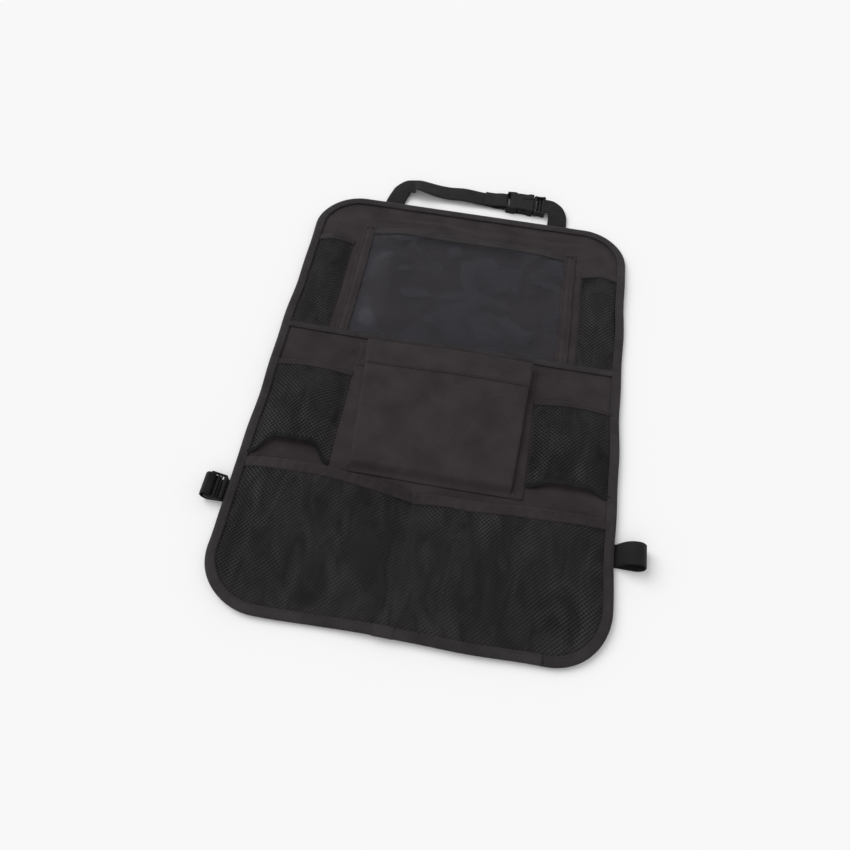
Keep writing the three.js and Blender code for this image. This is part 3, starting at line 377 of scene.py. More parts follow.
def over(
    height: HeightField, x: np.ndarray, y: np.ndarray, lift: float = 0.0
) -> tuple[np.ndarray, np.ndarray]:
    """Lay points on a height field.

    Args:
        height: The field.
        x: Places across.
        y: Places along, or one for them all.
        lift: Offset along the field's normal.

    Returns:
        The points and the ways up.
    """
    x, y = np.broadcast_arrays(x, y)
    slope_x = (height(x + SLOPE_REACH, y) - height(x - SLOPE_REACH, y)) / (2 * SLOPE_REACH)
    slope_y = (height(x, y + SLOPE_REACH) - height(x, y - SLOPE_REACH)) / (2 * SLOPE_REACH)
    up = unit(np.stack([-slope_x, -slope_y, np.ones_like(x)], -1))
    return np.stack([x, y, height(x, y)], -1) + up * lift, up


def strip_on(height: HeightField, x: np.ndarray, y: np.ndarray, low: float, high: float) -> MeshParts:
    """Lay a sheet of cloth on a height field.

    Args:
        height: The field.
        x: Places across, rows by columns or one row.
        y: Places along, rows by columns or one column.
        low: Offset of its lower face.
        high: Offset of its upper face.

    Returns:
        The sheet's mesh.
    """
    grid, up = over(height, x, y)
    return slab(grid, low, high, grid[..., :2], up)


@dataclass(frozen=True)
class Stitching:
    """A row of lock stitches: real polyester thread, drawn a little thick so that it shows."""

    length: float = 3.3
    gap: float = 0.7
    radius: float = 0.3
    rings: tuple[float, ...] = (-0.5, -0.32, 0.32, 0.5)
    dips: tuple[float, ...] = (-1.3, 0.35, 0.35, -1.3)
    taper: tuple[float, ...] = (0.6, 1.0, 1.0, 0.6)
    sides: int = 6

    def row(self, path: np.ndarray, ups: np.ndarray = UPWARD) -> MeshParts:
        """Sew along a path.

        Args:
            path: Points on the cloth, n by 3.
            ups: Ways up there, or one way for them all.

        Returns:
            The stitches' mesh.
        """
        ups = np.broadcast_to(ups, path.shape)
        run = run_along(path)
        count = max(1, int(run[-1] / (self.length + self.gap)))
        middles = (np.arange(count) + 0.5) * run[-1] / count
        where = np.clip(middles[:, None] + np.array(self.rings) * self.length, 0, run[-1])
        centres, up = (
            np.stack([np.interp(where, run, values[:, axis]) for axis in range(3)], -1)
            for values in (path, ups)
        )
        up = unit(up)
        centres = centres + up * (self.radius * np.array(self.dips))[None, :, None]
        straight = unit(np.repeat((centres[:, -1:] - centres[:, :1]), len(self.rings), 1))
        ways = straight * 0.8 + unit(np.gradient(centres, axis=1)) * 0.2
        return tubes(centres, unit(ways), up, self.radius * np.array(self.taper), self.sides)

    def flat(self, x: Any, y: Any, z: float) -> MeshParts:
        """Sew on cloth that lies flat; across or along may be a single number."""
        return self.row(np.column_stack(np.broadcast_arrays(x, y, z)))


LOCK_STITCH = Stitching()
BARTACK = Stitching(length=2.4, gap=-1.5, radius=0.34)


@dataclass(frozen=True)
class Net:
    """A knitted polyester net whose square holes stand on their corners."""

    pitch: float = 3.4
    yarn_width: float = 1.4
    yarn_thickness: float = 0.55
    crossing: float = 0.06

    def knit(self, height: HeightField, inside: HeightField, corner: Sequence[float]) -> MeshParts:
        """Knit the net over a pocket.

        Args:
            height: Height of the net's middle at each place.
            inside: Whether a place is on the net.
            corner: Lowest x and y and highest x and y that the net reaches.

        Returns:
            The yarns' mesh.
        """
        left, bottom, right, top = corner
        reach = (abs(right - left) + abs(top - bottom)) / 2
        middle = np.array([(left + right) / 2, (bottom + top) / 2])
        step = self.pitch / 2
        lines = int(reach / self.pitch) + 1
        samples = int(reach / step) + 1
        side = np.arange(4)
        following = (side + 1) % 4
        whole = MeshParts()
        for slant in (1, -1):
            way = np.array([1, slant]) / math.sqrt(2)
            aside = np.array([-slant, 1]) / math.sqrt(2)
            line = np.arange(-lines, lines + 1)[:, None, None] * self.pitch * aside
            along = np.arange(-samples, samples + 1)[None, :, None] * step * way
            plane = middle + line + along
            x, y = plane[..., 0], plane[..., 1]
            on = inside(x, y).astype(bool)
            centre, up = over(height, x, y)
            centre[..., 2] += self.crossing * slant
            climb = -(up[..., :2] @ way) / up[..., 2]
            ahead = np.stack([way[0] + 0 * x, way[1] + 0 * x, climb], -1)
            wide = unit(np.cross(up, unit(ahead))) * self.yarn_width / 2
            thick = up * self.yarn_thickness / 2
            ring = np.stack([centre + wide, centre + thick, centre - wide, centre - thick], 2)
            both = on[:, :-1] & on[:, 1:]
            number = np.arange(on.size).reshape(on.shape) * 4
            first = number[:, :-1][both][:, None]
            second = number[:, 1:][both][:, None]
            wall = np.stack([first + side, first + following, second + following, second + side], -1)
            before = np.pad(both, ((0, 0), (1, 0)))
            after = np.pad(both, ((0, 0), (0, 1)))
            starts = number[after & ~before][:, None] + side[::-1]
            ends = number[before & ~after][:, None] + side
            faces = np.concatenate([wall.reshape(-1, 4), starts, ends])
            used, faces = np.unique(faces, return_inverse=True)
            run = np.repeat(np.broadcast_to(along[..., 0] * math.sqrt(2), x.shape).ravel(), 4)[used]
            around = np.tile(side * 0.4, x.size)[used]
            whole.add(ring.reshape(-1, 3)[used], faces.reshape(-1, 4), np.stack([around, run], 1))
        return whole


NET = Net()


# Finishes
def linear(colour: str) -> tuple[float, float, float, float]:
    """Turn an sRGB hex value to linear red, green, blue and alpha."""
    shares = [int(colour[index : index + 2], 16) / 255 for index in (1, 3, 5)]
    bent = [share / 12.92 if share <= 0.04045 else ((share + 0.055) / 1.055) ** 2.4 for share in shares]
    return (bent[0], bent[1], bent[2], 1.0)


def feed(tree: bpy.types.NodeTree, node: bpy.types.Node, inputs: Mapping[Any, Any]) -> None:
    """Set or link a node's inputs, by their names or numbers."""
    for name, value in inputs.items():
        if isinstance(value, bpy.types.NodeSocket):
            tree.links.new(value, node.inputs[name])
        else:
            node.inputs[name].default_value = value


def add_node(
    tree: bpy.types.NodeTree,
    kind: str,
    settings: Optional[Mapping[str, Any]] = None,
    inputs: Optional[Mapping[Any, Any]] = None,
) -> bpy.types.Node:
    """Add a node to a material.

    Args:
        tree: The material's nodes.
        kind: The node's type.
        settings: Its own settings by name.
        inputs: Values or outputs of other nodes, by the name or number of the input.

    Returns:
        The node.
    """
    node = tree.nodes.new(kind)
    for name, value in (settings or {}).items():
        setattr(node, name, value)
    feed(tree, node, inputs or {})
    return node


def calculate(tree: bpy.types.NodeTree, operation: str, *values: Any) -> bpy.types.NodeSocket:
    """Add one step of arithmetic and give its output."""
    return add_node(tree, "ShaderNodeMath", {"operation": operation}, dict(enumerate(values))).outputs[0]


def cloth_place(tree: bpy.types.NodeTree) -> bpy.types.NodeSocket:
    """Give the place on the flat cloth, in millimetres."""
    return add_node(tree, "ShaderNodeUVMap", {"uv_map": CLOTH_MAP}).outputs[0]


def noise(
    tree: bpy.types.NodeTree, place: bpy.types.NodeSocket, scale: float, detail: float, **more: float
) -> bpy.types.NodeSocket:
    """Add noise and give its strength; more names its other inputs."""
    inputs = {"Vector": place, "Scale": scale, "Detail": detail, **more}
    return add_node(tree, "ShaderNodeTexNoise", inputs=inputs).outputs["Fac"]


def mixed(tree: bpy.types.NodeTree, share: Any, first: str, second: str) -> bpy.types.NodeSocket:
    """Mix two hex colours and give the colour."""
    inputs = {0: share, 6: linear(first), 7: linear(second)}
    settings = {"data_type": "RGBA", "clamp_factor": True}
    return add_node(tree, "ShaderNodeMix", settings, inputs).outputs[2]


def bumped(
    tree: bpy.types.NodeTree, height: bpy.types.NodeSocket, strength: float, distance: float, **more: Any
) -> bpy.types.NodeSocket:
    """Add a bump, its distance in metres, and give its normal; more names its other inputs."""
    inputs = {"Strength": strength, "Distance": distance, "Height": height, **more}
    return add_node(tree, "ShaderNodeBump", inputs=inputs).outputs[0]


def new_material(name: str) -> tuple[bpy.types.Material, bpy.types.NodeTree, bpy.types.Node]:
    """Make an empty material.

    Args:
        name: Its name.

    Returns:
        The material, its nodes and its surface shader.
    """
    material = bpy.data.materials.new(name)
    material.use_nodes = True
    tree = material.node_tree
    tree.nodes.clear()
    shader = add_node(tree, "ShaderNodeBsdfPrincipled")
    add_node(tree, "ShaderNodeOutputMaterial", inputs={0: shader.outputs[0]})
    return material, tree, shader


class Weave(Enum):
    """How a cloth's threads cross: exponents of its two waves, and the shift of every other row."""

    PLAIN = (0.5, 0.5, 0.5)
    GROSGRAIN = (0.1, 0.8, 0.0)
    ELASTIC = (0.5, 0.7, 0.5)
    WEBBING = (0.55, 0.7, 0.28)


@dataclass(frozen=True)
class ClothFinish:
    """A woven or braided cloth; its thread spacings, relief and creases are in millimetres."""

    name: str
    yarn: str
    # yarn is the threads' colour; gap is darker, painted shade between the threads.
    gap: str
    weave: Weave
    across: float
    along: float
    relief: float
    roughness: float
    sheen: float
    mottle: float = 0.8
    wrinkle: float = 1.5

    def build(self) -> bpy.types.Material:
        """Build the material: crossing threads with painted shade in the gaps between them, mottled dye and
        broad creases.
        """
        material, tree, shader = new_material(self.name)
        place = cloth_place(tree)
        parts = add_node(tree, "ShaderNodeSeparateXYZ", inputs={0: place})
        loose = calculate(tree, "MULTIPLY", noise(tree, place, 0.35, 1.0), 0.9)
        u, v = (calculate(tree, "ADD", parts.outputs[axis], loose) for axis in (0, 1))
        power_across, power_along, shift = self.weave.value
        wave_across = calculate(tree, "SINE", calculate(tree, "MULTIPLY", u, math.pi / self.across))
        row = calculate(tree, "MULTIPLY", calculate(tree, "SIGN", wave_across), shift * math.pi / 2)
        turned = calculate(tree, "ADD", calculate(tree, "MULTIPLY", v, math.pi / self.along), row)
        wave_along = calculate(tree, "SINE", turned)
        ridges = [
            calculate(tree, "POWER", calculate(tree, "ABSOLUTE", wave), power)
            for wave, power in ((wave_across, power_across), (wave_along, power_along))
        ]
        relief = calculate(tree, "MULTIPLY", *ridges)
        fine = calculate(tree, "MULTIPLY", noise(tree, place, 1.7, 2.0), 0.5)
        uneven = calculate(tree, "ADD", noise(tree, place, 0.028, 3.0), fine)
        spread = calculate(tree, "MULTIPLY", calculate(tree, "SUBTRACT", uneven, 0.75), 2 * self.mottle)
        # The threads' crowns take the yarn colour and the gaps between them the darker gap colour: painted
        # shade between the threads, with random mottle added.
        shade = calculate(tree, "ADD", relief, spread)
        smoothest, roughest = self.roughness - 0.05, min(1.0, self.roughness + 0.08)
        rough = add_node(tree, "ShaderNodeMapRange", inputs={0: shade, 3: roughest, 4: smoothest})
        creases = noise(tree, place, 0.045, 3.5, Roughness=0.6, Distortion=0.6)
        creased = bumped(tree, creases, 1.0, self.wrinkle * MILLIMETRE)
        finish = {
            "Base Color": mixed(tree, shade, self.gap, self.yarn),
            "Roughness": rough.outputs[0],
            "Normal": bumped(tree, relief, 0.7, self.relief * MILLIMETRE, Normal=creased),
            "Sheen Weight": self.sheen,
            "Sheen Roughness": 0.45,
            "Specular IOR Level": 0.1,
        }
        feed(tree, shader, finish)
        return material


@dataclass(frozen=True)
class YarnFinish:
    """A yarn on its own, or a sewing thread: two twisted plies with a faint gloss and painted shade in the
    grooves between them.
    """

    name: str
    light: str
    dark: str
    roughness: float
    patch_shading_strength: float = 0.0
    twist: float = 1.1

    def build(self) -> bpy.types.Material:
        """Build the material; the twist is drawn at 1.1 mm, coarser than the real 0.6 mm, to show."""
        material, tree, shader = new_material(self.name)
        parts = add_node(tree, "ShaderNodeSeparateXYZ", inputs={0: cloth_place(tree)})
        turns = calculate(tree, "MULTIPLY", parts.outputs[1], 2 * math.pi / self.twist)
        turn = calculate(tree, "ADD", turns, parts.outputs[0])
        twist = calculate(tree, "ABSOLUTE", calculate(tree, "SINE", turn))
        # The plies' crowns take the light colour and the grooves between them the dark one: painted shade in
        # the grooves.
        colour = mixed(tree, twist, self.dark, self.light)
        # Painted light and shade: slanting patches of the net lightened and darkened.
        if self.patch_shading_strength:
            colour = self.painted_patch_shading(tree, colour)
        finish = {
            "Base Color": colour,
            "Normal": bumped(tree, twist, 0.5, 0.1 * MILLIMETRE),
            "Roughness": self.roughness,
            "Specular IOR Level": 0.18,
        }
        feed(tree, shader, finish)
        return material

    def painted_patch_shading(self, tree: bpy.types.NodeTree, colour: bpy.types.NodeSocket) -> bpy.types.NodeSocket:
        """Lighten and darken slanting patches about 20 mm wide: painted light and shade, for the net's uneven
        shading.
        """
        place = add_node(tree, "ShaderNodeTexCoord").outputs["Object"]
        slant = {0: place, 2: (0.0, 0.0, 0.9), 3: (1.0, 0.4, 1.0)}
        slanted = add_node(tree, "ShaderNodeMapping", inputs=slant).outputs[0]
        patches = noise(tree, slanted, 44.0, 3.0, Roughness=0.55, Distortion=1.1)
        levels = {0: patches, 1: 0.35, 2: 0.65, 3: 1 - self.patch_shading_strength, 4: 1 + self.patch_shading_strength}
        bright = add_node(tree, "ShaderNodeMapRange", {"clamp": False}, levels).outputs[0]
        inputs = {"Value": bright, "Color": colour}
        return add_node(tree, "ShaderNodeHueSaturation", inputs=inputs).outputs[0]


@dataclass(frozen=True)
class FilmFinish:
    """Clear flexible vinyl, calendered: smooth, softly rippled, with a faint haze."""

    name: str = "clear_vinyl_film"
    haze: str = "#424349"
    clear_alpha: float = 0.26

    def build(self) -> bpy.types.Material:
        """Build the material; its ripples are 20 to 60 mm long and its haze clouds the same."""
        material, tree, shader = new_material(self.name)
        place = cloth_place(tree)
        clouds = noise(tree, place, 0.017, 1.5, Roughness=0.4, Distortion=1.4)
        ripples = noise(tree, place, 0.016, 0.5, Distortion=0.8)
        levels = {0: clouds, 1: 0.42, 2: 0.62, 3: self.clear_alpha - 0.08, 4: self.clear_alpha + 0.14}
        alpha = add_node(tree, "ShaderNodeMapRange", {"interpolation_type": "SMOOTHSTEP"}, levels)
        finish = {
            "Alpha": alpha.outputs[0],
            "Normal": bumped(tree, ripples, 0.6, 12 * MILLIMETRE),
            "Base Color": linear(self.haze),
            "Roughness": 0.08,
            "IOR": 1.53,
            "Specular IOR Level": 0.08,
        }
        feed(tree, shader, finish)
        return material


@dataclass(frozen=True)
class PlasticFinish:
    """Injection moulded acetal: dark, satin, with a fine spark eroded grain."""

    name: str = "moulded_acetal"
    colour: str = "#121213"
    worn: str = "#1c1c1d"
    grain: float = 0.55

    def build(self) -> bpy.types.Material:
        """Build the material; the grain is drawn at 0.55 mm, coarser than the real 0.1 mm, to show."""
        material, tree, shader = new_material(self.name)
        place = add_node(tree, "ShaderNodeTexCoord").outputs["Object"]
        grain = noise(tree, place, 1 / (self.grain * MILLIMETRE), 2.0)
        wear = noise(tree, place, 110.0, 2.0)
        finish = {
            "Base Color": mixed(tree, wear, self.colour, self.worn),
            "Roughness": add_node(tree, "ShaderNodeMapRange", inputs={0: wear, 3: 0.36, 4: 0.52}).outputs[0],
            "Normal": bumped(tree, grain, 0.25, 0.2 * MILLIMETRE),
            "IOR": 1.48,
            "Specular IOR Level": 0.14,
        }
        feed(tree, shader, finish)
        return material


def woven(
    name: str, colours: tuple[str, str], weave: Weave, spacing: tuple[float, float], *looks: float
) -> bpy.types.Material:
    """Build a cloth from its yarn and gap colours, thread spacings, relief, roughness and sheen."""
    return ClothFinish(name, *colours, weave, *spacing, *looks).build()


class Finishes:
    """The organizer's finishes, each built once."""

    def __init__(self) -> None:
        """Build them all."""
        # Plain woven polyester, 600 denier with a coated back: matt, faintly warm, drawn at 1.3 mm
        # where the real threads lie 0.55 mm apart.
        # Each pair of colours below is a yarn colour and a darker gap colour; the darker gap is painted shade
        # between the threads.
        threads = (1.3, 1.3)
        panel, pocket = ("#383233", "#262122"), ("#383233", "#282324")
        self.panel = woven("woven_polyester_panel", panel, Weave.PLAIN, threads, 0.22, 0.78, 0.06)
        self.pocket = woven("woven_polyester_pocket", pocket, Weave.PLAIN, threads, 0.2, 0.76, 0.06)
        # Woven polyester binding tape: fine ribs across it, about 1 mm apart.
        ribs = ("#393536", "#1d1a1b")
        self.tape = woven("grosgrain_binding_tape", ribs, Weave.GROSGRAIN, (1.6, 1.2), 0.3, 0.72, 0.07)
        # Braided elastic in a woven cover: short floats in staggered rows.
        floats, braid = (1.5, 2.0), ("#363132", "#221e1f")
        self.elastic = woven("braided_elastic_band", braid, Weave.ELASTIC, floats, 0.3, 0.75, 0.07)
        # The same braided elastic, narrower, where it gathers a pocket's foot; its darker colours are painted
        # shade for the dark line under the foot.
        shaded_braid = ("#1d1c1d", "#0c0c0d")
        self.shaded_foot_elastic = woven("braided_foot_elastic", shaded_braid, Weave.ELASTIC, floats, 0.3, 0.75, 0.03)
        # Woven polypropylene webbing, 25 mm: thick yarns in rows along it, slightly glossy.
        thick = ("#242324", "#0f0f10")
        self.webbing = woven("polypropylene_webbing", thick, Weave.WEBBING, (1.55, 2.4), 0.45, 0.6, 0.03)
        # Knitted polyester net yarn, dyed black; its 0.6 lightens and darkens slanting patches as painted
        # light and shade.
        self.net = YarnFinish("polyester_net_yarn", "#2d2d2d", "#151515", 0.5, 0.6).build()
        # Bonded polyester sewing thread.
        self.thread = YarnFinish("sewing_thread", "#383435", "#1a1718", 0.5).build()
        self.film = FilmFinish().build()
        self.plastic = PlasticFinish().build()


def dress(
    parts: MeshParts,
    name: str,
    material: bpy.types.Material,
    slot: str,
    *nodes: str,
    body: str = ORGANIZER,
    soft: bool = True,
) -> bpy.types.Object:
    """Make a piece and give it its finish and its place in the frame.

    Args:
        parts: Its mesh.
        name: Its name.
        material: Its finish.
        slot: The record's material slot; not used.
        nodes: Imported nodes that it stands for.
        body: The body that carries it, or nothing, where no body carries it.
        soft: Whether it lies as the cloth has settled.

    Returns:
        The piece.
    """
    piece = parts.to_object(name, soft)
    piece.data.materials.append(material)
    if body:
        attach(piece, body)
    if nodes:
        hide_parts(*nodes)
    LOG.info("%s: %d faces", piece.name, len(piece.data.polygons))
    return piece


# Panel and binding
@dataclass
class BackPanel:
    """The woven panel that everything is sewn to."""

    finishes: Finishes
    rows: int = 190
    columns: int = 96
    half_cloth: float = 0.42
    crease: float = 0.8
    crease_y: float = 568.0

    def build(self) -> bpy.types.Object:
        """Make and dress the panel."""
        share = (1 - np.cos(np.linspace(0, np.pi, self.rows + 1))) / 2
        inset = PANEL.edge_inset
        heights = inset + share * (PANEL.height - 2 * inset)
        x = np.linspace(-1, 1, self.columns + 1)[None, :] * PANEL.half_width(heights, inset)[:, None]
        y = np.repeat(heights[:, None], self.columns + 1, 1)
        bend = y + 3.0 * np.sin(x / 38) + 1.6 * np.sin(x / 17 + 1)
        creases = self.crease * np.sin(bend / 2.7) * bell(y, self.crease_y, 13)
        creases = creases * smooth((170 - np.abs(x)) / 60) * (0.65 + 0.35 * np.sin(x / 29 + y / 12))
        puckers = 0.12 * np.sin(x / 6.5) * np.cos(y / 9) + creases
        grid = np.stack([x, y, (LEVEL.panel_under + LEVEL.panel_face) / 2 + puckers], -1)
        up = np.broadcast_to(UPWARD, grid.shape)
        parts = slab(grid, -self.half_cloth, self.half_cloth, np.stack([x, y], -1), up)
        piece = dress(parts, "panel_cloth", self.finishes.panel, "panel_fabric", "back_panel")
        return piece


# The folded tape's section, anticlockwise seen along the edge, as inset and height over its underside.
BINDING_SECTION = (
    *((11.0, 0.0), (6.0, -0.05), (1.4, 0.05), (0.45, 0.35), (0.05, 0.9), (0.0, 1.6), (0.25, 2.5)),
    *((1.1, 3.4), (2.6, 4.0), (4.4, 4.15), (6.8, 3.85), (9.0, 3.4), (11.0, 3.6)),
    *((11.0, 3.0), (9.0, 2.9), (4.0, 3.3), (2.0, 3.1), (1.0, 2.3), (0.8, 1.2), (1.3, 0.6), (6.0, 0.5)),
    (11.0, 0.55),
)
# The section of the folded end over it, as distance from the bottom edge and height.
LAP_SECTION = ((-0.4, 5.0), (-0.35, 6.1), (0.3, 6.9), (1.5, 7.2), (4.0, 7.1), (9.0, 6.7), (11.2, 6.75))


@dataclass
class EdgeBinding:
    """The tape folded round the panel's edge, its stitches, and the lap where its ends meet."""

    finishes: Finishes
    stitch_inset: float = 9.0
    stitch_rise: float = 3.5
    middle_inset: float = 5.0
    lap_x: float = -14.0
    lap_length: float = 21.0

    def sweep(self) -> MeshParts:
        """Sweep the section round the outline."""
        section = np.array(BINDING_SECTION) + (0, LEVEL.binding_under)
        rings = np.stack([PANEL.outline(inset) for inset, _ in section], 1)
        count, sides, _ = rings.shape
        run = run_along(PANEL.outline(self.middle_inset))
        height = np.broadcast_to(section[:, 1], (count, sides)).copy()
        top = (section[:, 1] > LEVEL.binding_under + 2.8) & (section[:, 0] > 2.5)
        pucker = 0.2 * np.sin(run / 1.9 + 1.8 * np.sin(run / 37))
        pucker = pucker + 0.14 * np.sin(run / 6.1 + np.sin(run / 53))
        height[:, top] += pucker[:, None]
        points = np.concatenate([rings, height[..., None]], -1)
        cloth = np.stack(np.broadcast_arrays(run_along(section), run[:, None]), -1)
        side = np.arange(sides)
        here = np.arange(count)[:, None] * sides
        there = np.roll(here, -1, 0)
        after = (side + 1) % sides
        faces = np.stack([here + side, here + after, there + after, there + side], -1)
        parts = MeshParts()
        parts.add(points.reshape(-1, 3), faces.reshape(-1, 4)[:, ::-1], cloth.reshape(-1, 2))
        return parts

    def stitches(self) -> MeshParts:
        """Sew round the tape, above and below."""
        ring = PANEL.outline(self.stitch_inset)
        x, y = np.concatenate([ring, ring[:1]]).T
        lower = np.column_stack(np.broadcast_arrays(x, y, LEVEL.binding_under - 0.02))[::-1]
        return join(
            LOCK_STITCH.flat(x, y, LEVEL.binding_under + self.stitch_rise), LOCK_STITCH.row(lower, -UPWARD)
        )

    def lap(self) -> MeshParts:
        """Lay the folded end of the tape over its start at the bottom edge."""
        x = np.linspace(self.lap_x - self.lap_length / 2, self.lap_x + self.lap_length / 2, 12)
        section = np.array(LAP_SECTION)
        grid = np.stack(np.broadcast_arrays(x, section[:, :1], section[:, 1:]), -1)
        grid[..., 2] -= 0.25 * (np.abs(x - self.lap_x) / self.lap_length) ** 2
        return slab(grid, -HALF_CLOTH, HALF_CLOTH, grid[..., 1::-1])

    def build(self) -> bpy.types.Object:
        """Make and dress the binding."""
        tape, slot = self.finishes.tape, "binding_tape"
        edge = dress(self.sweep(), "binding_tape_edge", tape, slot, "edge_binding")
        dress(self.lap(), "binding_tape_lap", tape, slot)
        dress(self.stitches(), "binding_stitches", self.finishes.thread, slot)
        return edge


@dataclass(frozen=True)
class SewnStrip:
    """How a narrow strip bulges across its width and puckers along its stitches."""

    crown: float
    fall: float
    flutter: float
    flutter_length: float
    ridge: float
    pucker: float
    pucker_length: float
    drift_length: float

    def lift(self, share: np.ndarray, along: np.ndarray) -> np.ndarray:
        """Give its lift, where the share across it is -0.5 at one edge and 0.5 at the other."""
        flutter = self.flutter * np.sin(along / self.flutter_length) * np.abs(share) * 2
        drift = 2 * np.sin(along / self.drift_length)
        pucker = self.pucker * np.sin(along / self.pucker_length + drift)
        ridges = self.ridge * np.cos(share * 4 * np.pi)
        return self.crown - 2 * self.fall * share**2 + flutter + ridges + pucker


SEAM_TAPE = SewnStrip(0.25, 1.1, 0.12, 5.1, 0.16, 0.1, 3.4, 31)
SIDE_STRIP = SewnStrip(0.2, 1.0, 0.1, 5.3, 0.3, 0.18, 3.7, 29)


@dataclass
class RowSeam:
    """The tape over the seam between the upper and the middle row of pockets."""

    finishes: Finishes
    stitch_offset: float = 2.6

    def build(self) -> bpy.types.Object:
        """Make and dress the seam tape and its two rows of stitches."""
        half = PANEL.width / 2 - PANEL.edge_inset - 8
        x, share = np.meshgrid(np.linspace(-half, half, 240), np.linspace(-0.5, 0.5, 13))
        y = PANEL.row_seam_y + share * PANEL.row_seam_width
        grid = np.stack([x, y, LEVEL.tape + SEAM_TAPE.lift(share, x)], -1)
        tape = slab(grid, 0.0, TAPE_THICKNESS, grid[..., 1::-1])
        piece = dress(tape, "row_seam_tape_cloth", self.finishes.tape, "binding_tape", "row_seam_tape")
        line = np.linspace(-half + 3, half - 3, 160)
        offsets = (-self.stitch_offset, self.stitch_offset)
        rows = [LOCK_STITCH.flat(line, PANEL.row_seam_y + offset, LEVEL.pocket + 1.15) for offset in offsets]
        dress(join(*rows), "row_seam_stitches", self.finishes.thread, "binding_tape")
        return piece


# Upper row
@dataclass
class WindowPocket:
    """The clear window pocket: film, mouth band and the two strips that hold its sides."""

    finishes: Finishes
    half_width: float = 143.0
    top: float = 546.0
    strip_width: float = 14.0
    band_height: float = 11.0
    rise: float = 6.5
    shoulder: float = 0.16
    strip_stitch_lift: float = 1.22
    band_stitch_lift: float = 0.98
    tack_lift: float = 1.45

    def height(self, x: np.ndarray, y: np.ndarray) -> np.ndarray:
        """Give the film's height, with the soft ripples of a film that was once rolled up."""
        side = self.half_width - PANEL.seam_allowance
        flat = self.strip_width - PANEL.seam_allowance + GAP
        across = np.clip((x + side - flat) / (2 * (side - flat)), 0, 1)
        low = PANEL.row_bottom + PANEL.row_seam_width
        along = np.clip((y - low) / (self.top - low), 0, 1)
        free = smooth(np.minimum(across, 1 - across) / self.shoulder) * smooth(along / self.shoulder)
        ripple = 0.55 * np.sin(x / 19 + 0.9 * np.sin(y / 33)) + 0.45 * np.sin(y / 17 + x / 41)
        return LEVEL.pocket + free * (self.rise + ripple - 0.4)

    def strip(self, side: int) -> MeshParts:
        """Make the fabric strip over one side of the film."""
        middle = side * (self.half_width - self.strip_width / 2)
        bottom = PANEL.row_seam_y + PANEL.row_seam_width / 2 - 1
        half = self.strip_width / 2
        columns = np.linspace(middle - half, middle + half, 17)
        x, y = np.meshgrid(columns, np.linspace(bottom, self.top + PANEL.seam_allowance, 150))
        grid = np.stack([x, y, LEVEL.tape + SIDE_STRIP.lift((x - middle) / self.strip_width, y)], -1)
        return slab(grid, 0.0, TAPE_THICKNESS, np.stack([x, y], -1))

    def stitches(self) -> MeshParts:
        """Sew both edges of the strips and the band, and tack the mouth's two ends."""
        rows = []
        y = np.linspace(PANEL.row_seam_y + 5, self.top + 1, 90)
        tack = np.linspace(-5, 5, 12)
        for side in (-1, 1):
            for inset in (2.0, self.strip_width - 2.2):
                x = side * (self.half_width - inset)
                rows.append(LOCK_STITCH.flat(x, y, LEVEL.pocket + self.strip_stitch_lift))
            place = side * (self.half_width - 7) + tack
            for drop in (1.0, 2.3, 3.6):
                rows.append(BARTACK.flat(place, self.top - drop, LEVEL.pocket + self.tack_lift))
        x = np.linspace(-self.half_width + 15, self.half_width - 15, 120)
        for inset in (1.6, self.band_height - 1.6):
            rows.append(LOCK_STITCH.row(*over(self.height, x, self.top - inset, self.band_stitch_lift)))
        return join(*rows)

    def build(self) -> bpy.types.Object:
        """Make and dress the window pocket."""
        finishes = self.finishes
        side = self.half_width - PANEL.seam_allowance
        y = np.linspace(PANEL.row_bottom, self.top, 78)[:, None]
        film = strip_on(self.height, np.linspace(-side, side, 110), y, -0.3, 0.1)
        film = dress(film, "vinyl_window", finishes.film, "clear_film", "window_film")
        reach = self.half_width - self.strip_width
        y = np.linspace(self.top - self.band_height, self.top, 7)[:, None]
        band = strip_on(self.height, np.linspace(-reach, reach, 90), y, 0.3, 0.9)
        held = [dress(band, "window_mouth_band", finishes.tape, "binding_tape", "window_top_band")]
        for way, word in ((-1, "left"), (1, "right")):
            name, node = f"window_side_strip_{word}", f"window_strip_{word}"
            held.append(dress(self.strip(way), name, finishes.pocket, "pocket_fabric", node))
        dress(self.stitches(), "window_stitches", finishes.thread, "binding_tape")
        return film


@dataclass(kw_only=True)
class SidePocket:
    """A net pocket between the binding and an inner seam, at one side of a row."""

    finishes: Finishes
    side: int
    rise: float
    inner_x: float
    top: float
    fullness: float
    yarn_share: float
    stitch_lift: float = 1.08

    @property
    def word(self) -> str:
        """Name its side."""
        return "left" if self.side < 0 else "right"

    @property
    def span(self) -> tuple[float, float]:
        """Give its lowest and highest x."""
        outer = self.side * (PANEL.width / 2 - PANEL.edge_inset - GAP)
        inner = self.side * self.inner_x
        return min(outer, inner), max(outer, inner)

    def inside(self, x: np.ndarray) -> np.ndarray:
        """Give the share of the way across the free net."""
        left, right = self.span
        flat = (PANEL.under_binding, PANEL.seam_allowance)
        left_flat, right_flat = flat if self.side < 0 else flat[::-1]
        return np.clip((x - left - left_flat) / (right - right_flat - left - left_flat), 0, 1)

    def hem(self, depth: float, columns: int, name: str, node: str) -> bpy.types.Object:
        """Lay and dress an elastic band on the net's mouth."""
        left, right = self.span
        y = np.linspace(self.top - depth, self.top, 7)[:, None]
        band = strip_on(self.height, np.linspace(left + 1, right, columns), y, 0.25, 1.0)
        name, node = f"{name}_{self.word}", f"{node}_{self.word}"
        return dress(band, name, self.finishes.elastic, "elastic_band", node)

    def declare(self, net: bpy.types.Object, bottom: float, held: list[bpy.types.Object]) -> None:
        """Look up the pocket's span and do nothing more."""
        left, right = self.span


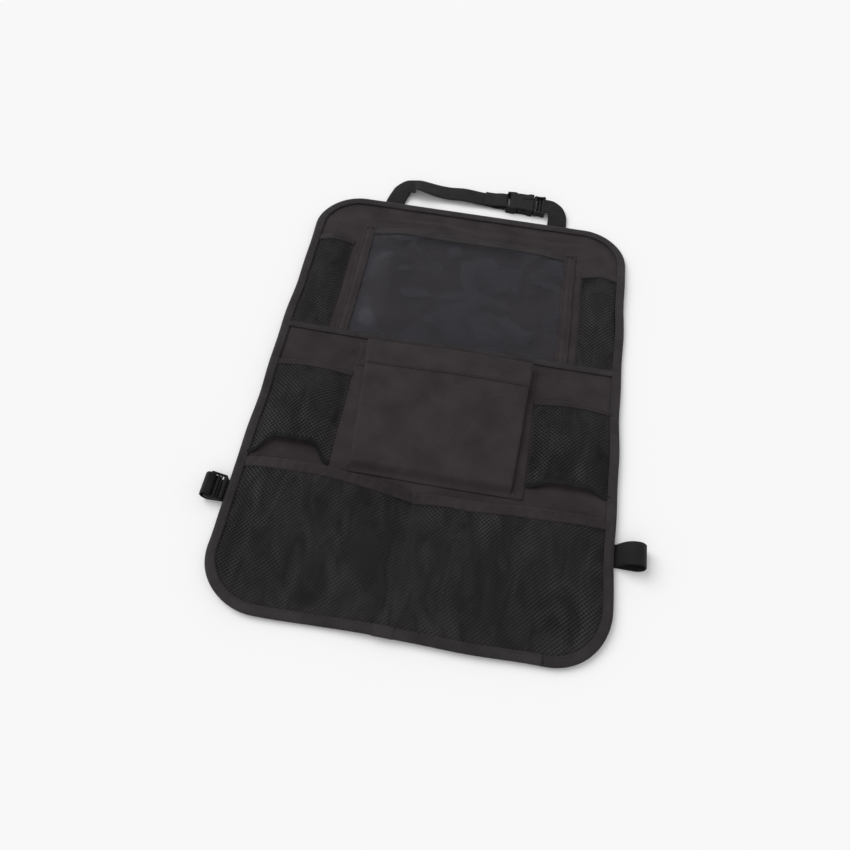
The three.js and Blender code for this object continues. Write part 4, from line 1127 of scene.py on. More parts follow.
@dataclass(kw_only=True)
class PenPocket(SidePocket):
    """A narrow net pocket for pens, with its hem."""

    inner_x: float = 152.0
    top: float = 518.0
    hem_height: float = 9.0
    mouth_share: float = 0.5
    fullness: float = 1.08
    yarn_share: float = 0.8

    def height(self, x: np.ndarray, y: np.ndarray) -> np.ndarray:
        """Give the net's height."""
        low = PANEL.row_bottom + PANEL.row_seam_width
        along = np.clip((y - low) / (self.top - low), 0, 1)
        mouth = 1 - (1 - self.mouth_share) * smooth(along * 2 - 1)
        swell = np.sin(np.pi * self.inside(x)) * smooth(along * 2.2) * mouth
        return LEVEL.pocket + (self.rise + 0.7 * np.sin(x / 6.5 + y / 29)) * swell

    def build(self) -> bpy.types.Object:
        """Make and dress the pocket, its hem and stitches."""
        left, right = self.span
        low = PANEL.row_bottom
        yarns = NET.knit(
            self.height,
            lambda x, y: (x > left) & (x < right) & (y > low) & (y < self.top - 2),
            (left, low, right, self.top),
        )
        net = dress(yarns, f"pen_net_{self.word}", self.finishes.net, "net", f"pen_pocket_{self.word}")
        hem = self.hem(self.hem_height, 40, "pen_hem_cloth", "pen_hem")
        across = np.linspace(left + 8, right - 2, 60)
        down = np.linspace(low + 8, self.top - 1, 60)
        seams = join(
            LOCK_STITCH.row(*over(self.height, across, self.top - self.hem_height + 1.5, self.stitch_lift)),
            LOCK_STITCH.flat(self.side * (self.inner_x + 1.5), down, LEVEL.pocket + SEAM_LIFT),
        )
        dress(seams, f"pen_stitches_{self.word}", self.finishes.thread, "elastic_band")
        self.declare(net, low, [hem])
        return net


# Middle row
@dataclass(kw_only=True)
class DrinkPocket(SidePocket):
    """A full net pocket at one side of the middle row, with a mouth band and an elastic foot."""

    bottom: float
    arch: float
    inner_x: float = 108.6
    top: float = 307.0
    band_height: float = 7.0
    elastic_height: float = 5.0
    foot_rise: float = 5.5
    mouth_rise: float = 5.4
    arch_shoulder: float = 0.27
    fullness: float = 1.15
    yarn_share: float = 0.72

    def arched(self, x: np.ndarray) -> np.ndarray:
        """Give the share of the foot's arch: flat in the middle and steep at both ends."""
        across = self.inside(x)
        return smooth(np.minimum(across, 1 - across) / self.arch_shoulder)

    def foot(self, x: np.ndarray) -> np.ndarray:
        """Give the height on the panel of the pocket's gathered foot."""
        return self.bottom + self.arch * self.arched(x)

    def height(self, x: np.ndarray, y: np.ndarray) -> np.ndarray:
        """Give the net's height, gathered at the foot and softly dented above it."""
        across = self.inside(x)
        hump = np.sin(np.pi * across)
        foot = self.foot(x)
        along = np.clip((y - foot) / (self.top - foot), 0, 1)
        full = smooth(along * 1.8)
        closed = smooth(along * 2 - 1)
        swell = self.foot_rise * self.arched(x) * (1 - full)
        swell = swell + hump * (self.rise * full * (1 - closed) + self.mouth_rise * closed)
        gather = 0.9 * np.sin(6 * np.pi * across) * (1 - smooth(along * 2.5)) * hump
        dent = 1.3 * np.sin(y / 15 + self.side) * np.sin(x / 12) * smooth(along * 3) * smooth((1 - along) * 4)
        return LEVEL.pocket + swell + gather + dent * hump

    def crimped(self, x: np.ndarray, y: np.ndarray) -> np.ndarray:
        """Give the height of the foot's elastic, which the gathers crimp."""
        return self.height(x, y) + 0.35 * np.sin(x / 1.3) * np.sin(np.pi * self.inside(x))

    def build(self) -> bpy.types.Object:
        """Make and dress the pocket, its bands and stitches."""
        left, right = self.span
        yarns = NET.knit(
            self.height,
            lambda x, y: (x > left) & (x < right) & (y > self.foot(x)) & (y < self.top - 2),
            (left, self.bottom, right, self.top),
        )
        net = dress(yarns, f"drink_net_{self.word}", self.finishes.net, "net", f"drink_pocket_{self.word}")
        band = self.hem(self.band_height, 60, "drink_mouth_band", "drink_band")
        x = np.linspace(left + 1, right, 60)
        y = self.foot(x) + np.linspace(0, self.elastic_height, 5)[:, None]
        # The foot's elastic takes darker colours than the mouth band's: painted shade under the gathered
        # foot.
        foot = dress(
            strip_on(self.crimped, x, y, 0.25, 1.0),
            f"drink_foot_elastic_{self.word}",
            self.finishes.shaded_foot_elastic,
            "elastic_band",
            f"drink_elastic_{self.word}",
        )
        x = np.linspace(left + 8, right - 2, 80)
        rows = [
            LOCK_STITCH.row(*over(self.height, x, self.top - inset, self.stitch_lift))
            for inset in (1.4, self.band_height - 1.4)
        ]
        dress(join(*rows), f"drink_stitches_{self.word}", self.finishes.thread, "elastic_band")
        self.declare(net, self.bottom, [band, foot])
        return net


@dataclass
class CentrePocket:
    """The fabric pocket in the middle: a front raised on two pleated gussets, with a deep hem."""

    finishes: Finishes
    half_width: float = 108.0
    top: float = 350.0
    bottom: float = 174.0
    hem: float = 33.0
    rise_top: float = 10.5
    rise_bottom: float = 4.8
    gusset_top: float = 7.0
    gusset_bottom: float = 21.0
    gusset_right: float = 0.55
    tuck: float = 5.0

    def rise(self, reach: np.ndarray) -> np.ndarray:
        """Give how far the front stands off the panel, from its foot to its mouth."""
        return (self.rise_bottom + (self.rise_top - self.rise_bottom) * reach) * smooth(reach / 0.06)

    def gusset(self, y: np.ndarray, reach: np.ndarray, side: int) -> np.ndarray:
        """Give the seam, the folded gusset and the front's edge at one side, from the seam inwards."""
        rise = self.rise(reach)
        fold = 1 - smooth((self.bottom + 14 - y) / 12)
        depth = self.gusset_bottom + (self.gusset_top - self.gusset_bottom) * reach
        room = self.half_width - PANEL.seam_allowance
        crease = room - depth * (1.0 if side < 0 else self.gusset_right)
        tuck = crease - self.tuck * fold
        shape = [
            (self.half_width, 0),
            (room, 0),
            ((room + tuck) / 2, rise * 0.12),
            (tuck + 0.6, rise * 0.3),
            (tuck, rise * 0.42),
            (tuck + 0.6, rise * 0.54),
            ((tuck + crease) / 2 + 0.5, rise * 0.68),
            (crease - 0.2, rise * 0.82),
            (crease + 0.5, rise * 0.93),
            (crease - 0.1, rise + 0.15),
            (crease - 1.8, rise * 1.02 + 0.3),
        ]
        return np.stack([np.stack(np.broadcast_arrays(side * across, y, up), -1) for across, up in shape], 1)

    def section(self, y: np.ndarray) -> np.ndarray:
        """Give the pocket's section at each height.

        Args:
            y: Heights on the panel.

        Returns:
            Points, rows by columns by 3, from the left seam to the right one.
        """
        reach = np.clip((y - self.bottom - PANEL.seam_allowance) / (self.top - self.bottom - 3), 0, 1)
        left, right = self.gusset(y, reach, -1), self.gusset(y, reach, 1)[:, ::-1]
        start, end = left[:, -1], right[:, 0]
        share = np.linspace(0, 1, 42)[1:-1]
        front = start[:, None] + (end - start)[:, None] * share[None, :, None]
        x, along = front[..., 0], y[:, None]
        soft = smooth(np.minimum(share, 1 - share) / 0.15)[None] * smooth(reach / 0.2)[:, None]
        waves = 0.5 * np.sin(x / 31 + along / 47) + 0.35 * np.sin(along / 21 - x / 60)
        crown = 0.18 * self.rise(reach)[:, None] * np.sin(np.pi * share)[None]
        front[..., 2] += crown + soft * (waves + 0.2 * np.sin(x / 11 + 1))
        grid = np.concatenate([left, front, right], 1)
        grid[..., 2] += LEVEL.pocket
        return grid

    def sheet(self, y: np.ndarray, low: float, high: float) -> MeshParts:
        """Make a sheet over these heights; its flat cloth is measured along each section."""
        grid = self.section(y)
        step = np.linalg.norm(np.diff(grid, axis=1), axis=-1)
        run = np.concatenate([np.zeros((len(grid), 1)), np.cumsum(step, 1)], 1)
        return slab(grid, low, high, np.stack([run - run[:, -1:] / 2, grid[..., 1]], -1))

    def stitches(self) -> MeshParts:
        """Sew the hem's foot, the pocket's sides and its bottom."""
        rows = []
        inner = slice(10, -10)
        for drop in (self.hem, self.hem - 2.6):
            grid = self.section(self.top - drop + np.array([-0.5, 0.0, 0.5]))
            path, up = grid[1, inner], grid_normals(grid)[1, inner]
            rows.append(LOCK_STITCH.row(path + up * 0.98, up))
        flat = LEVEL.pocket + SEAM_LIFT
        y = np.linspace(self.bottom + 1, self.top - 1, 70)
        for side in (-1, 1):
            rows.append(LOCK_STITCH.flat(side * (self.half_width - 1.4), y, flat))
        x = np.linspace(-self.half_width + 2, self.half_width - 2, 90)
        rows.append(LOCK_STITCH.flat(x, self.bottom + 1.6, flat))
        return join(*rows)

    def build(self) -> bpy.types.Object:
        """Make and dress the pocket and its hem."""
        cloth, slot = self.finishes.pocket, "pocket_fabric"
        foot = np.linspace(self.bottom, self.bottom + 24, 16)
        y = np.concatenate([foot, np.linspace(self.bottom + 27, self.top, 52)])
        front = self.sheet(y, -HALF_CLOTH, HALF_CLOTH)
        front = dress(front, "centre_pocket_cloth", cloth, slot, "centre_pocket")
        hem = self.sheet(np.linspace(self.top - self.hem, self.top + 0.3, 16), 0.35, 0.85)
        hem = dress(hem, "centre_hem_cloth", cloth, slot, "centre_pocket_hem")
        dress(self.stitches(), "centre_stitches", self.finishes.thread, slot)
        return front


# Lower row
@dataclass
class LowerPocket:
    """The wide net pocket at the bottom, sewn down along a centre seam."""

    finishes: Finishes
    top_ends: float = 175.0
    top_sag: float = 15.0
    band_height: float = 12.0
    seam_x: float = -7.0
    seam_width: float = 9.0
    rise_left: float = 22.0
    rise_right: float = 16.0
    slack_right: float = 6.0
    foot_ease: float = 2.5
    stitch_lift: float = 1.12
    yarn_share: float = 0.74

    def lobe(self, x: np.ndarray, y: np.ndarray) -> np.ndarray:
        """Give the share of the way from the centre seam to the binding."""
        side = np.where(x < self.seam_x, -1.0, 1.0)
        outer = PANEL.half_width(y, PANEL.edge_inset + GAP)
        safe = np.maximum(y, PANEL.binding_width + GAP + self.foot_ease)
        clear = PANEL.half_width(safe, PANEL.binding_width + GAP)
        inner = np.minimum(clear, outer - PANEL.seam_allowance)
        start = self.seam_x + side * self.seam_width / 2
        return np.clip((x - start) / (side * inner - start), 0, 1)

    def mouth(self, x: np.ndarray) -> np.ndarray:
        """Give the height on the panel of the pocket's mouth."""
        lobe = self.lobe(x, np.full_like(x, self.top_ends))
        edge = 0.05 + 0.85 * lobe
        slack = np.where(x > self.seam_x, self.slack_right, 0.0) * smooth(lobe * 2.5)
        return self.top_ends - slack - self.top_sag * (1 - edge**2)

    def height(self, x: np.ndarray, y: np.ndarray) -> np.ndarray:
        """Give the net's height, with the folds that run from the seam and the corners."""
        lobe = self.lobe(x, y)
        bottom = PANEL.edge_inset + GAP + PANEL.under_binding + self.foot_ease
        along = np.clip((y - bottom) / (self.mouth(x) - bottom), 0, 1)
        rise = np.where(x < self.seam_x, self.rise_left, self.rise_right)
        swell = np.power(np.sin(np.pi * lobe), 0.8) * smooth(along * 1.25)
        drape = 2.2 * np.sin((x - 0.45 * y) / 7.5) * bell(x, self.seam_x, 60) * smooth(lobe * 6)
        slack = 2.0 * np.sin((x + 0.8 * y) / 14) * smooth(lobe * 4) * smooth((1 - lobe) * 5)
        return LEVEL.pocket + rise * swell + (drape + slack) * smooth(along * 3) * smooth((1 - along) * 5)

    def gathered(self, x: np.ndarray, y: np.ndarray) -> np.ndarray:
        """Give the height of the mouth's elastic, with its fine gathers."""
        gathers = 0.42 * np.sin(x / 1.9 + 1.3 * np.sin(x / 11))
        return self.height(x, y) + gathers * np.sin(x / 23 + y / 6)

    def build(self) -> bpy.types.Object:
        """Make and dress the pocket, its band and its seam."""
        edge = PANEL.edge_inset + GAP
        reach = PANEL.width / 2 - edge
        yarns = NET.knit(
            self.height,
            lambda x, y: (np.abs(x) < PANEL.half_width(y, edge)) & (y > edge) & (y < self.mouth(x) - 2),
            (-reach, edge, reach, self.top_ends),
        )
        net = dress(yarns, "lower_net", self.finishes.net, "net", "lower_pocket_net")
        x = np.linspace(-reach + 1, reach - 1, 330)
        y = self.mouth(x) + np.linspace(-self.band_height, 0, 8)[:, None]
        band = strip_on(self.gathered, x, y, 0.45, 1.15)
        band = dress(band, "lower_mouth_band", self.finishes.elastic, "elastic_band", "lower_pocket_band")
        x = np.linspace(-reach + 9, reach - 9, 200)
        rows = [
            LOCK_STITCH.row(*over(self.height, x, self.mouth(x) - inset, self.stitch_lift))
            for inset in (1.6, self.band_height - 1.6)
        ]
        y = np.linspace(12, float(self.mouth(np.array([self.seam_x]))[0]) - 1, 60)
        for offset in (-1.2, 1.2):
            x = self.seam_x + offset + (150 - y) * 0.008
            rows.append(LOCK_STITCH.row(*over(self.height, x, y, SEAM_LIFT)))
        dress(join(*rows), "lower_stitches", self.finishes.thread, "elastic_band")
        return net


# Webbing
@dataclass(frozen=True)
class Stations:
    """Places along a flat strap: its two edges and the way its face looks."""

    near: np.ndarray
    far: np.ndarray
    face: np.ndarray

    def then(self, other: "Stations") -> "Stations":
        """Put another run of places after this one."""
        return Stations(
            np.concatenate([self.near, other.near]),
            np.concatenate([self.far, other.far]),
            np.concatenate([self.face, other.face]),
        )

    def finer(self, step: float) -> "Stations":
        """Give more places on smooth curves through these, about a step apart."""
        middle = (self.near + self.far) / 2
        run = run_along(middle)
        run = run + np.arange(len(run)) * 1e-6
        wanted = [
            np.linspace(start, end, max(2, math.ceil((end - start) / step)), endpoint=False)
            for start, end in zip(run[:-1], run[1:])
        ]
        where = np.concatenate([*wanted, run[-1:]])

        def through(values: np.ndarray) -> np.ndarray:
            """Follow the values on Hermite curves."""
            slope = np.gradient(values, run, axis=0)
            index = np.clip(np.searchsorted(run, where, side="right") - 1, 0, len(run) - 2)
            size = (run[index + 1] - run[index])[:, None]
            t = ((where - run[index]) / size[:, 0])[:, None]
            start = values[index] * (1 + 2 * t) * (1 - t) ** 2 + slope[index] * size * t * (1 - t) ** 2
            end = values[index + 1] * t**2 * (3 - 2 * t) - slope[index + 1] * size * t**2 * (1 - t)
            return start + end

        return Stations(through(self.near), through(self.far), unit(through(self.face)))

    def strap(self, thickness: float, across: int = 9) -> MeshParts:
        """Make the strap's mesh.

        Args:
            thickness: Its thickness.
            across: Points across it.

        Returns:
            The mesh, with the length along it in its cloth coordinates.
        """
        share = np.linspace(0, 1, across)[None, :, None]
        grid = self.near[:, None] + (self.far - self.near)[:, None] * share
        run = run_along((self.near + self.far) / 2)
        width = np.linalg.norm(self.far - self.near, axis=1)
        cloth = np.stack([width[:, None] * share[..., 0], np.repeat(run[:, None], across, 1)], -1)
        normals = np.repeat(self.face[:, None], across, 1)
        centre = (len(grid) // 2, across // 2)
        if float(grid_normals(grid)[centre] @ normals[centre]) < 0:
            grid, cloth, normals = grid[:, ::-1], cloth[:, ::-1], normals[:, ::-1]
        return slab(grid, -thickness / 2, thickness / 2, cloth, normals)


def arc(
    centre: tuple[float, float], radius: float, start: float, end: float, count: int
) -> list[tuple[float, float]]:
    """Give points of an arc in a strap's plane.

    Args:
        centre: Its centre.
        radius: Its radius.
        start: First angle in degrees.
        end: Last angle in degrees.
        count: Steps between them.

    Returns:
        The points, as place along the strap and height.
    """
    turns = np.radians(np.linspace(start, end, count + 1))
    return [(centre[0] + radius * math.cos(turn), centre[1] + radius * math.sin(turn)) for turn in turns]


def along_path(path: Sequence[tuple[float, float]], middle_y: float, width: float, flip: int) -> Stations:
    """Turn a path in a strap's plane to places along the strap.

    Args:
        path: Place along the x axis and height, point by point.
        middle_y: Height on the panel of the strap's middle.
        width: The strap's width.
        flip: 1 where its near edge is the upper one, and -1 where it is the lower one.

    Returns:
        The places.
    """
    points = np.array(path)
    ahead = points[np.minimum(np.arange(len(points)) + 1, len(points) - 1)]
    behind = points[np.maximum(np.arange(len(points)) - 1, 0)]
    way = unit(ahead - behind)
    near, far = (
        np.insert(points, 1, middle_y + offset, 1) for offset in (flip * width / 2, -flip * width / 2)
    )
    return Stations(near, far, np.stack([-way[:, 1], np.zeros(len(points)), way[:, 0]], -1))


def weave_path(
    first: float, near: float, far: float, slot: float, middle: float, half: float, heading: int
) -> list[tuple[float, float]]:
    """Give a strap's path over one bar, under the next and up through the slot behind it.

    Args:
        first: Inner face of the first bar.
        near: Near face of the middle bar.
        far: Far face of the middle bar.
        slot: Place of the last slot.
        middle: Height of the bars' middle.
        half: Half a bar's height.
        heading: 1 towards higher x, or -1.

    Returns:
        The points, as place along the strap and height.
    """
    top = middle + half + GAP + WEBBING_THICKNESS / 2
    low = 2 * middle - top
    between = (first + near) / 2
    return [
        (first + heading * 0.6, top),
        (between - heading * 0.35, top - 0.8),
        (between + heading * 0.35, low + 0.8),
        (near - heading * 0.6, low),
        (far + heading * 0.6, low),
        (slot - heading * 0.35, low + 0.8),
        (slot, middle),
        (slot, middle + 1.6),
    ]


@dataclass(frozen=True)
class SoftTurn:
    """A step of the handle's turn from a leg to its run.

    Its inner edge lies towards the run and up from the turn's inner corner. The webbing's width stands
    at an angle, and both edges have a height over the sewn end.
    """

    towards: float
    up: float
    angle: float
    outer_rise: float
    inner_rise: float


TURN_LEFT = (
    SoftTurn(-4.5, -10.5, 0.0, 1.2, 1.6),
    SoftTurn(-1.5, -2.5, 11.0, 2.0, 4.0),
    SoftTurn(0.0, 1.0, 25.0, 2.6, 5.9),
    SoftTurn(2.5, 0.5, 59.0, 6.0, 6.8),
    SoftTurn(9.5, 0.0, 85.0, 6.2, 6.0),
    SoftTurn(22.5, 0.0, 90.0, 3.4, 3.4),
)
TURN_RIGHT = (
    SoftTurn(-2.0, -12.0, 0.0, 1.4, 2.2),
    SoftTurn(-1.5, -5.0, 16.0, 2.6, 4.4),
    SoftTurn(-0.4, -1.0, 44.0, 4.0, 5.4),
    SoftTurn(0.8, 0.0, 74.0, 5.4, 6.0),
)


@dataclass
class HandleWebbing:
    """The two halves of the handle, sewn behind the top edge and closed by the buckle."""

    finishes: Finishes
    run_y: float = 634.0
    corner_left: float = -94.5
    lean_left: float = 6.5
    corner_right: float = 99.0
    lean_right: float = 2.0
    sewn_length: float = 24.0
    buckle_x: float = 38.0
    socket_length: float = 40.0
    socket_bar: float = 2.6
    socket_middle: float = 5.5
    plug_base: float = 16.0
    plug_shoulder: float = 3.4
    plug_bar: float = 2.6
    plug_bar_half: float = 1.3

    def leg(self, corner_x: float, lean: float, heading: int, turn: Sequence[SoftTurn]) -> Stations:
        """Raise a leg from behind the panel and turn it softly into the run.

        Args:
            corner_x: Place of the turn's inner corner.
            lean: How far the leg leans towards the run.
            heading: 1 for a run to the right, -1 for one to the left.
            turn: The turn's steps.

        Returns:
            The places along it.
        """
        corner_y = self.run_y - WEBBING_WIDTH / 2
        foot = SoftTurn(-lean, PANEL.height - self.sewn_length - corner_y, 0.0, 0.0, 0.0)
        edge = SoftTurn(-lean, PANEL.height + GAP - corner_y, 0.0, 0.0, 0.0)
        inner, outer = [], []
        for step in (foot, edge, *turn):
            x, y = corner_x + heading * step.towards, corner_y + step.up
            angle = math.radians(step.angle)
            inner.append((x, y, LEVEL.sewn_end + step.inner_rise))
            away, aside = WEBBING_WIDTH * math.cos(angle), WEBBING_WIDTH * math.sin(angle)
            outer.append((x - heading * away, y + aside, LEVEL.sewn_end + step.outer_rise))
        near, far = (outer, inner) if heading > 0 else (inner, outer)
        return Stations(np.array(near), np.array(far), np.tile(UPWARD, (len(near), 1)))

    def long_half(self) -> Stations:
        """Give the long half: the left leg, the run and the turn round the socket's bar."""
        bar_x = self.buckle_x + self.socket_bar / 2
        turn = self.socket_bar / math.sqrt(2) + GAP + WEBBING_THICKNESS / 2
        under = self.socket_middle - turn
        top = self.socket_middle + turn
        rest = 0.2 + LEVEL.strap
        start, end = self.corner_left, self.buckle_x
        path = [
            (start + 34, rest + 2),
            (start + 52, rest),
            (start + 74, rest + 1.8),
            (end - 34, rest + 1.2),
            (end - 14, under),
            *arc((bar_x, self.socket_middle), turn, -90, 90, 12),
            (end - 8, top - 0.5),
            (end - 20, under + WEBBING_THICKNESS + GAP + 0.9),
            (end - 28, under + WEBBING_THICKNESS + GAP + 0.1),
        ]
        run = along_path(path, self.run_y, WEBBING_WIDTH, 1)
        return self.sprung(self.leg(self.corner_left, self.lean_left, 1, TURN_LEFT).then(run).finer(2.2))

    def sprung(self, places: Stations) -> Stations:
        """Let the long run spring up off the ground and roll a little as it comes out of its turn."""
        length = self.buckle_x - 14 - self.corner_left
        share = np.clip((places.near[:, 0] - self.corner_left) / length, 0, 1)
        spring = 4.5 * np.sin(np.pi * share) ** 0.7
        roll = 8.0 * smooth(share / 0.06) * np.exp(-share * 3.2) * (1 - share)
        near, far = places.near.copy(), places.far.copy()
        near[:, 2] += spring
        far[:, 2] += spring + roll
        return Stations(near, far, places.face)

    def short_half(self) -> Stations:
        """Give the short half: the right leg and the weave through the plug's two bars."""
        bar_top = self.socket_middle + self.plug_bar_half + GAP + WEBBING_THICKNESS / 2
        start = self.buckle_x + self.socket_length + 0.5
        end = start + self.plug_base
        centre = (start + self.plug_shoulder + end - self.plug_bar) / 2
        middle = (centre - self.plug_bar / 2, centre + self.plug_bar / 2)
        slot = (middle[0] + start + self.plug_shoulder) / 2
        bars = (end - self.plug_bar, middle[1], middle[0])
        weave = weave_path(*bars, slot, self.socket_middle, self.plug_bar_half, -1)
        run = along_path([(end + 1.6, bar_top), *weave], self.run_y, WEBBING_WIDTH, -1)
        run = Stations(run.near, run.far, -run.face)
        return self.leg(self.corner_right, self.lean_right, -1, TURN_RIGHT).then(run).finer(1.6)

    def build(self) -> bpy.types.Object:
        """Make and dress both halves."""
        webbing = self.finishes.webbing
        strap = self.long_half().strap(WEBBING_THICKNESS)
        names = ("handle_webbing_long", webbing, "webbing", "handle_strap_long")
        long_half = dress(strap, *names, body="", soft=False)
        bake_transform(long_half)
        strap = self.short_half().strap(WEBBING_THICKNESS)
        dress(strap, "handle_webbing_short", webbing, "webbing", "handle_strap_short", soft=False)
        return long_half


@dataclass
class Hardware:
    """The moulded buckle and ladder lock, kept as packed with their own finish."""

    finishes: Finishes
    nodes: tuple[str, ...] = ("buckle_socket", "buckle_plug", "ladder_lock")

    def build(self) -> None:
        """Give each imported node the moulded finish."""
        for name in self.nodes:
            node = bpy.data.objects[name]
            for index in range(len(node.material_slots)):
                node.material_slots[index].material = self.finishes.plastic
            LOG.info("%s: finished", name)


@dataclass
class LowerWebbing:
    """The webbing behind the panel, its two side loops, and the tab that holds the ladder lock."""

    finishes: Finishes
    middle_y: float = 129.0
    sewn_x: float = 172.0
    reach_right: float = 32.0
    height_right: float = 20.0
    rise_right: tuple[tuple[float, float], ...] = ((0.12, 0.26), (0.3, 0.7), (0.5, 0.95))
    reach_left: float = 25.5
    height_left: float = 17.5
    end_left: float = 115.0
    lock_length: float = 18.5
    lock_width: float = 31.0
    lock_bar_half: float = 1.25
    lock_rail: float = 2.4
    lock_bar_z: float = 7.0
    lock_tilt: float = 22.0
    lock_standoff: float = 3.2
    tab_thickness: float = 0.45
    tab_sewn: float = 24.0

    @property
    def lock_inner(self) -> float:
        """Give the place of the lock's inner bar."""
        return -PANEL.width / 2 - self.lock_standoff

    def tilted(self, point: tuple[float, float]) -> tuple[float, float]:
        """Turn a point of the path with the lock, which stands up from its inner bar."""
        angle = math.radians(self.lock_tilt)
        across, up = point[0] - self.lock_inner, point[1] - self.lock_bar_z
        return (
            self.lock_inner + across * math.cos(angle) + up * math.sin(angle),
            self.lock_bar_z - across * math.sin(angle) + up * math.cos(angle),
        )

    def strap_places(self) -> Stations:
        """Give the webbing's places from its sewn end to the lock."""
        side = PANEL.width / 2
        loop_right = (self.height_right - WEBBING_THICKNESS) / 2
        loop_left = (self.height_left - WEBBING_THICKNESS) / 2
        turn_x = side + self.reach_right - WEBBING_THICKNESS / 2 - loop_right
        turn_left = -side - self.reach_left + WEBBING_THICKNESS / 2 + loop_left
        half = self.lock_bar_half
        outer = self.lock_inner - self.lock_length + 2 * half
        middle = (self.lock_inner + outer) / 2
        tab_side = self.lock_inner - half * math.sqrt(2) - GAP - self.tab_thickness
        slot = (middle + half + tab_side) / 2
        weave = weave_path(outer + half, middle - half, middle + half, slot, self.lock_bar_z, half, 1)
        top = LEVEL.strap + 2 * loop_right
        path = [
            (self.sewn_x, LEVEL.sewn_end),
            *[(side - easing, LEVEL.sewn_end) for easing in (14.0, 5.0, 1.6)],
            (side + 0.6, LEVEL.sewn_end),
            *[
                (side + along * self.reach_right, LEVEL.sewn_end + (top - LEVEL.sewn_end) * height)
                for along, height in self.rise_right
            ],
            *arc((turn_x, LEVEL.strap + loop_right), loop_right, 90, -90, 10),
            *[(turn_x - easing, LEVEL.strap) for easing in (1.5, 4.0, 9.0, 18.0)],
            (side - 4, LEVEL.strap),
            *[(place, LEVEL.strap) for place in np.linspace(side - 30, -side + 30, 9)],
            (-side + 4, LEVEL.strap),
            *[(turn_left + easing, LEVEL.strap) for easing in (12.0, 5.0, 1.5)],
            *arc((turn_left, LEVEL.strap + loop_left), loop_left, 270, self.end_left, 9),
            self.tilted((outer, self.lock_bar_z + half + GAP + WEBBING_THICKNESS / 2)),
            *map(self.tilted, weave),
        ]
        return along_path(path, self.middle_y, WEBBING_WIDTH, 1).finer(2.0)

    def tab_places(self) -> Stations:
        """Give the tab's places round the lock's inner bar."""
        side = PANEL.width / 2
        turn = self.lock_bar_half * math.sqrt(2) + GAP + self.tab_thickness / 2
        upper = 2 * WEBBING_THICKNESS + GAP - self.tab_thickness / 2
        lower = WEBBING_THICKNESS + GAP + self.tab_thickness / 2
        bend = self.lock_inner + turn
        path = [
            (-side + self.tab_sewn, upper),
            (-side + GAP, upper),
            (-side + (bend + side) * 0.7, upper + GAP),
            (bend, upper + 4 * GAP),
            *arc((self.lock_inner, self.lock_bar_z), turn, 0, 245, 14),
            (bend - turn / 2 - GAP, upper),
            (-side + GAP, lower),
            (-side + self.tab_sewn, lower),
        ]
        width = self.lock_width - 2 * self.lock_rail - 4 * GAP
        return along_path(path, self.middle_y, width, 1).finer(1.2)

    def build(self) -> bpy.types.Object:
        """Make and dress the webbing and the tab."""
        webbing = self.finishes.webbing
        strap = self.strap_places().strap(WEBBING_THICKNESS)
        strap = dress(strap, "lower_webbing", webbing, "webbing", "lower_strap", soft=False)
        tab = self.tab_places().strap(self.tab_thickness)
        dress(tab, "lock_tab_webbing", webbing, "webbing", "ladder_lock_tab", soft=False)
        return strap


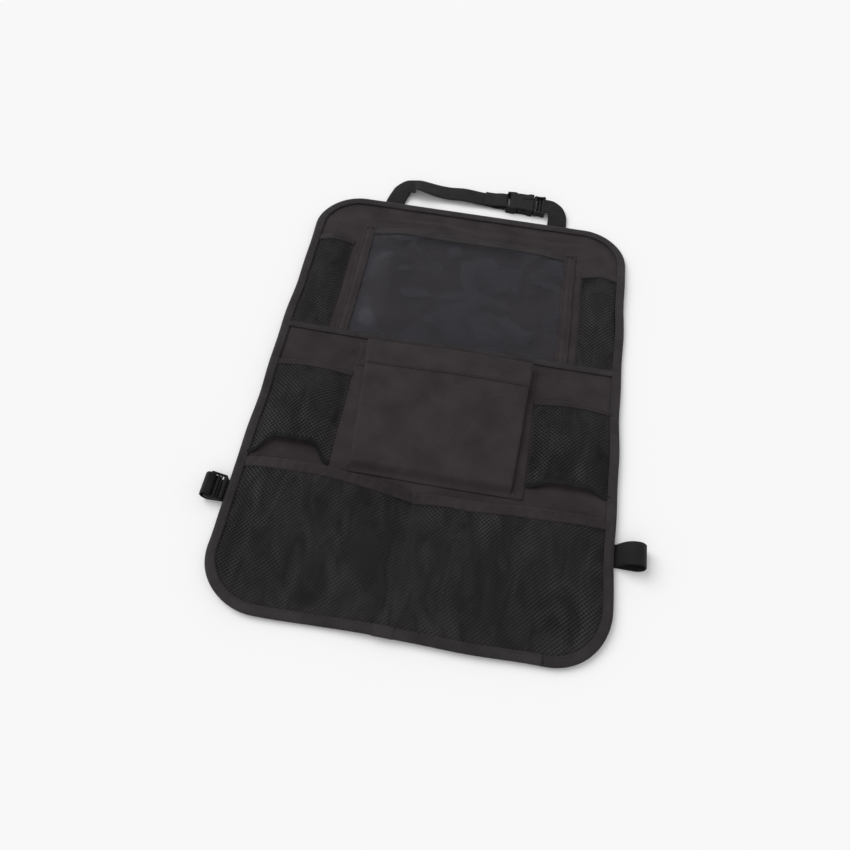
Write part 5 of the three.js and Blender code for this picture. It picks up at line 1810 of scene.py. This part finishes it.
# Camera, lamps and floor
@dataclass
class Studio:
    """The camera at the photograph's viewpoint, soft even lamps and a pale floor."""

    place: tuple[float, float, float] = (0.0315, -0.5314, 0.7507)
    right: tuple[float, float, float] = (0.9858, 0.1637, 0.0377)
    up: tuple[float, float, float] = (-0.1592, 0.8382, 0.5216)
    back: tuple[float, float, float] = (0.0538, -0.5202, 0.8524)
    lens: float = 32.24
    floor_colour: str = "#fdfdfd"
    floor_reach: float = 6.0
    world_strength: float = 0.5

    def camera(self) -> None:
        """Set the camera."""
        data = bpy.data.cameras.new("camera")
        data.lens = self.lens
        data.sensor_width = 36.0
        data.clip_start = 0.01
        made = bpy.data.objects.new("camera", data)
        turn = Matrix((self.right, self.up, self.back)).transposed()
        made.matrix_world = Matrix.Translation(Vector(self.place)) @ turn.to_4x4()
        bpy.context.scene.collection.objects.link(made)
        bpy.context.scene.camera = made

    def lamp(self, name: str, azimuth: float, elevation: float, strength: float, spread: float) -> None:
        """Add a broad, distant lamp.

        Args:
            name: Its name.
            azimuth: Where it stands, in degrees from +X towards +Y.
            elevation: Its height in degrees.
            strength: Its strength.
            spread: Its angular size in degrees.
        """
        data = bpy.data.lights.new(name, "SUN")
        data.energy = strength
        data.angle = math.radians(spread)
        made = bpy.data.objects.new(name, data)
        around, above = math.radians(azimuth), math.radians(elevation)
        flat = math.cos(above)
        way = Vector((math.cos(around) * flat, math.sin(around) * flat, math.sin(above)))
        made.rotation_mode = "QUATERNION"
        made.rotation_quaternion = way.to_track_quat("Z", "Y")
        bpy.context.scene.collection.objects.link(made)

    def world(self) -> None:
        """Light the object evenly from all round."""
        world = bpy.data.worlds.new("studio")
        world.use_nodes = True
        tree = world.node_tree
        tree.nodes.clear()
        light, white = (
            add_node(tree, "ShaderNodeBackground", inputs={"Color": (1, 1, 1, 1), "Strength": strength})
            for strength in (self.world_strength, 1.0)
        )
        path = add_node(tree, "ShaderNodeLightPath").outputs
        seen = calculate(tree, "MAXIMUM", path["Is Camera Ray"], path["Is Transmission Ray"])
        seen = calculate(tree, "MAXIMUM", seen, path["Is Glossy Ray"])
        shares = {0: seen, 1: light.outputs[0], 2: white.outputs[0]}
        mix = add_node(tree, "ShaderNodeMixShader", inputs=shares)
        add_node(tree, "ShaderNodeOutputWorld", inputs={0: mix.outputs[0]})
        bpy.context.scene.world = world

    def floor(self) -> None:
        """Lay the pale floor."""
        mesh = bpy.data.meshes.new("floor")
        reach = self.floor_reach
        corners = [(-reach, -reach, 0), (reach, -reach, 0), (reach, reach, 0), (-reach, reach, 0)]
        mesh.from_pydata(corners, [], [(0, 1, 2, 3)])
        made = bpy.data.objects.new("floor", mesh)
        bpy.context.scene.collection.objects.link(made)
        material, tree, shader = new_material("pale_paper_floor")
        finish = {"Base Color": linear(self.floor_colour), "Roughness": 0.9, "Specular IOR Level": 0.0}
        feed(tree, shader, finish)
        mesh.materials.append(material)

    def build(self) -> None:
        """Set up the whole studio."""
        scene = bpy.context.scene
        scene.view_settings.view_transform = "Standard"
        self.camera()
        self.lamp("key_lamp", 154.0, 46.0, 1.5, 46.0)
        self.lamp("fill_lamp", 262.0, 45.0, 0.5, 60.0)
        self.world()
        self.floor()


def main() -> None:
    """Build the organizer piece by piece."""
    logging.basicConfig(level=logging.INFO, format="%(name)s %(message)s")
    Studio().build()
    finishes = Finishes()
    LowerWebbing(finishes).build()
    BackPanel(finishes).build()
    EdgeBinding(finishes).build()
    RowSeam(finishes).build()
    WindowPocket(finishes).build()
    PenPocket(finishes=finishes, side=-1, rise=10.0).build()
    PenPocket(finishes=finishes, side=1, rise=9.0).build()
    DrinkPocket(finishes=finishes, side=-1, rise=18.0, bottom=178.0, arch=22.0).build()
    DrinkPocket(finishes=finishes, side=1, rise=13.0, bottom=190.0, arch=7.0).build()
    CentrePocket(finishes).build()
    LowerPocket(finishes).build()
    HandleWebbing(finishes).build()
    Hardware(finishes).build()


if __name__ == "__main__":
    main()
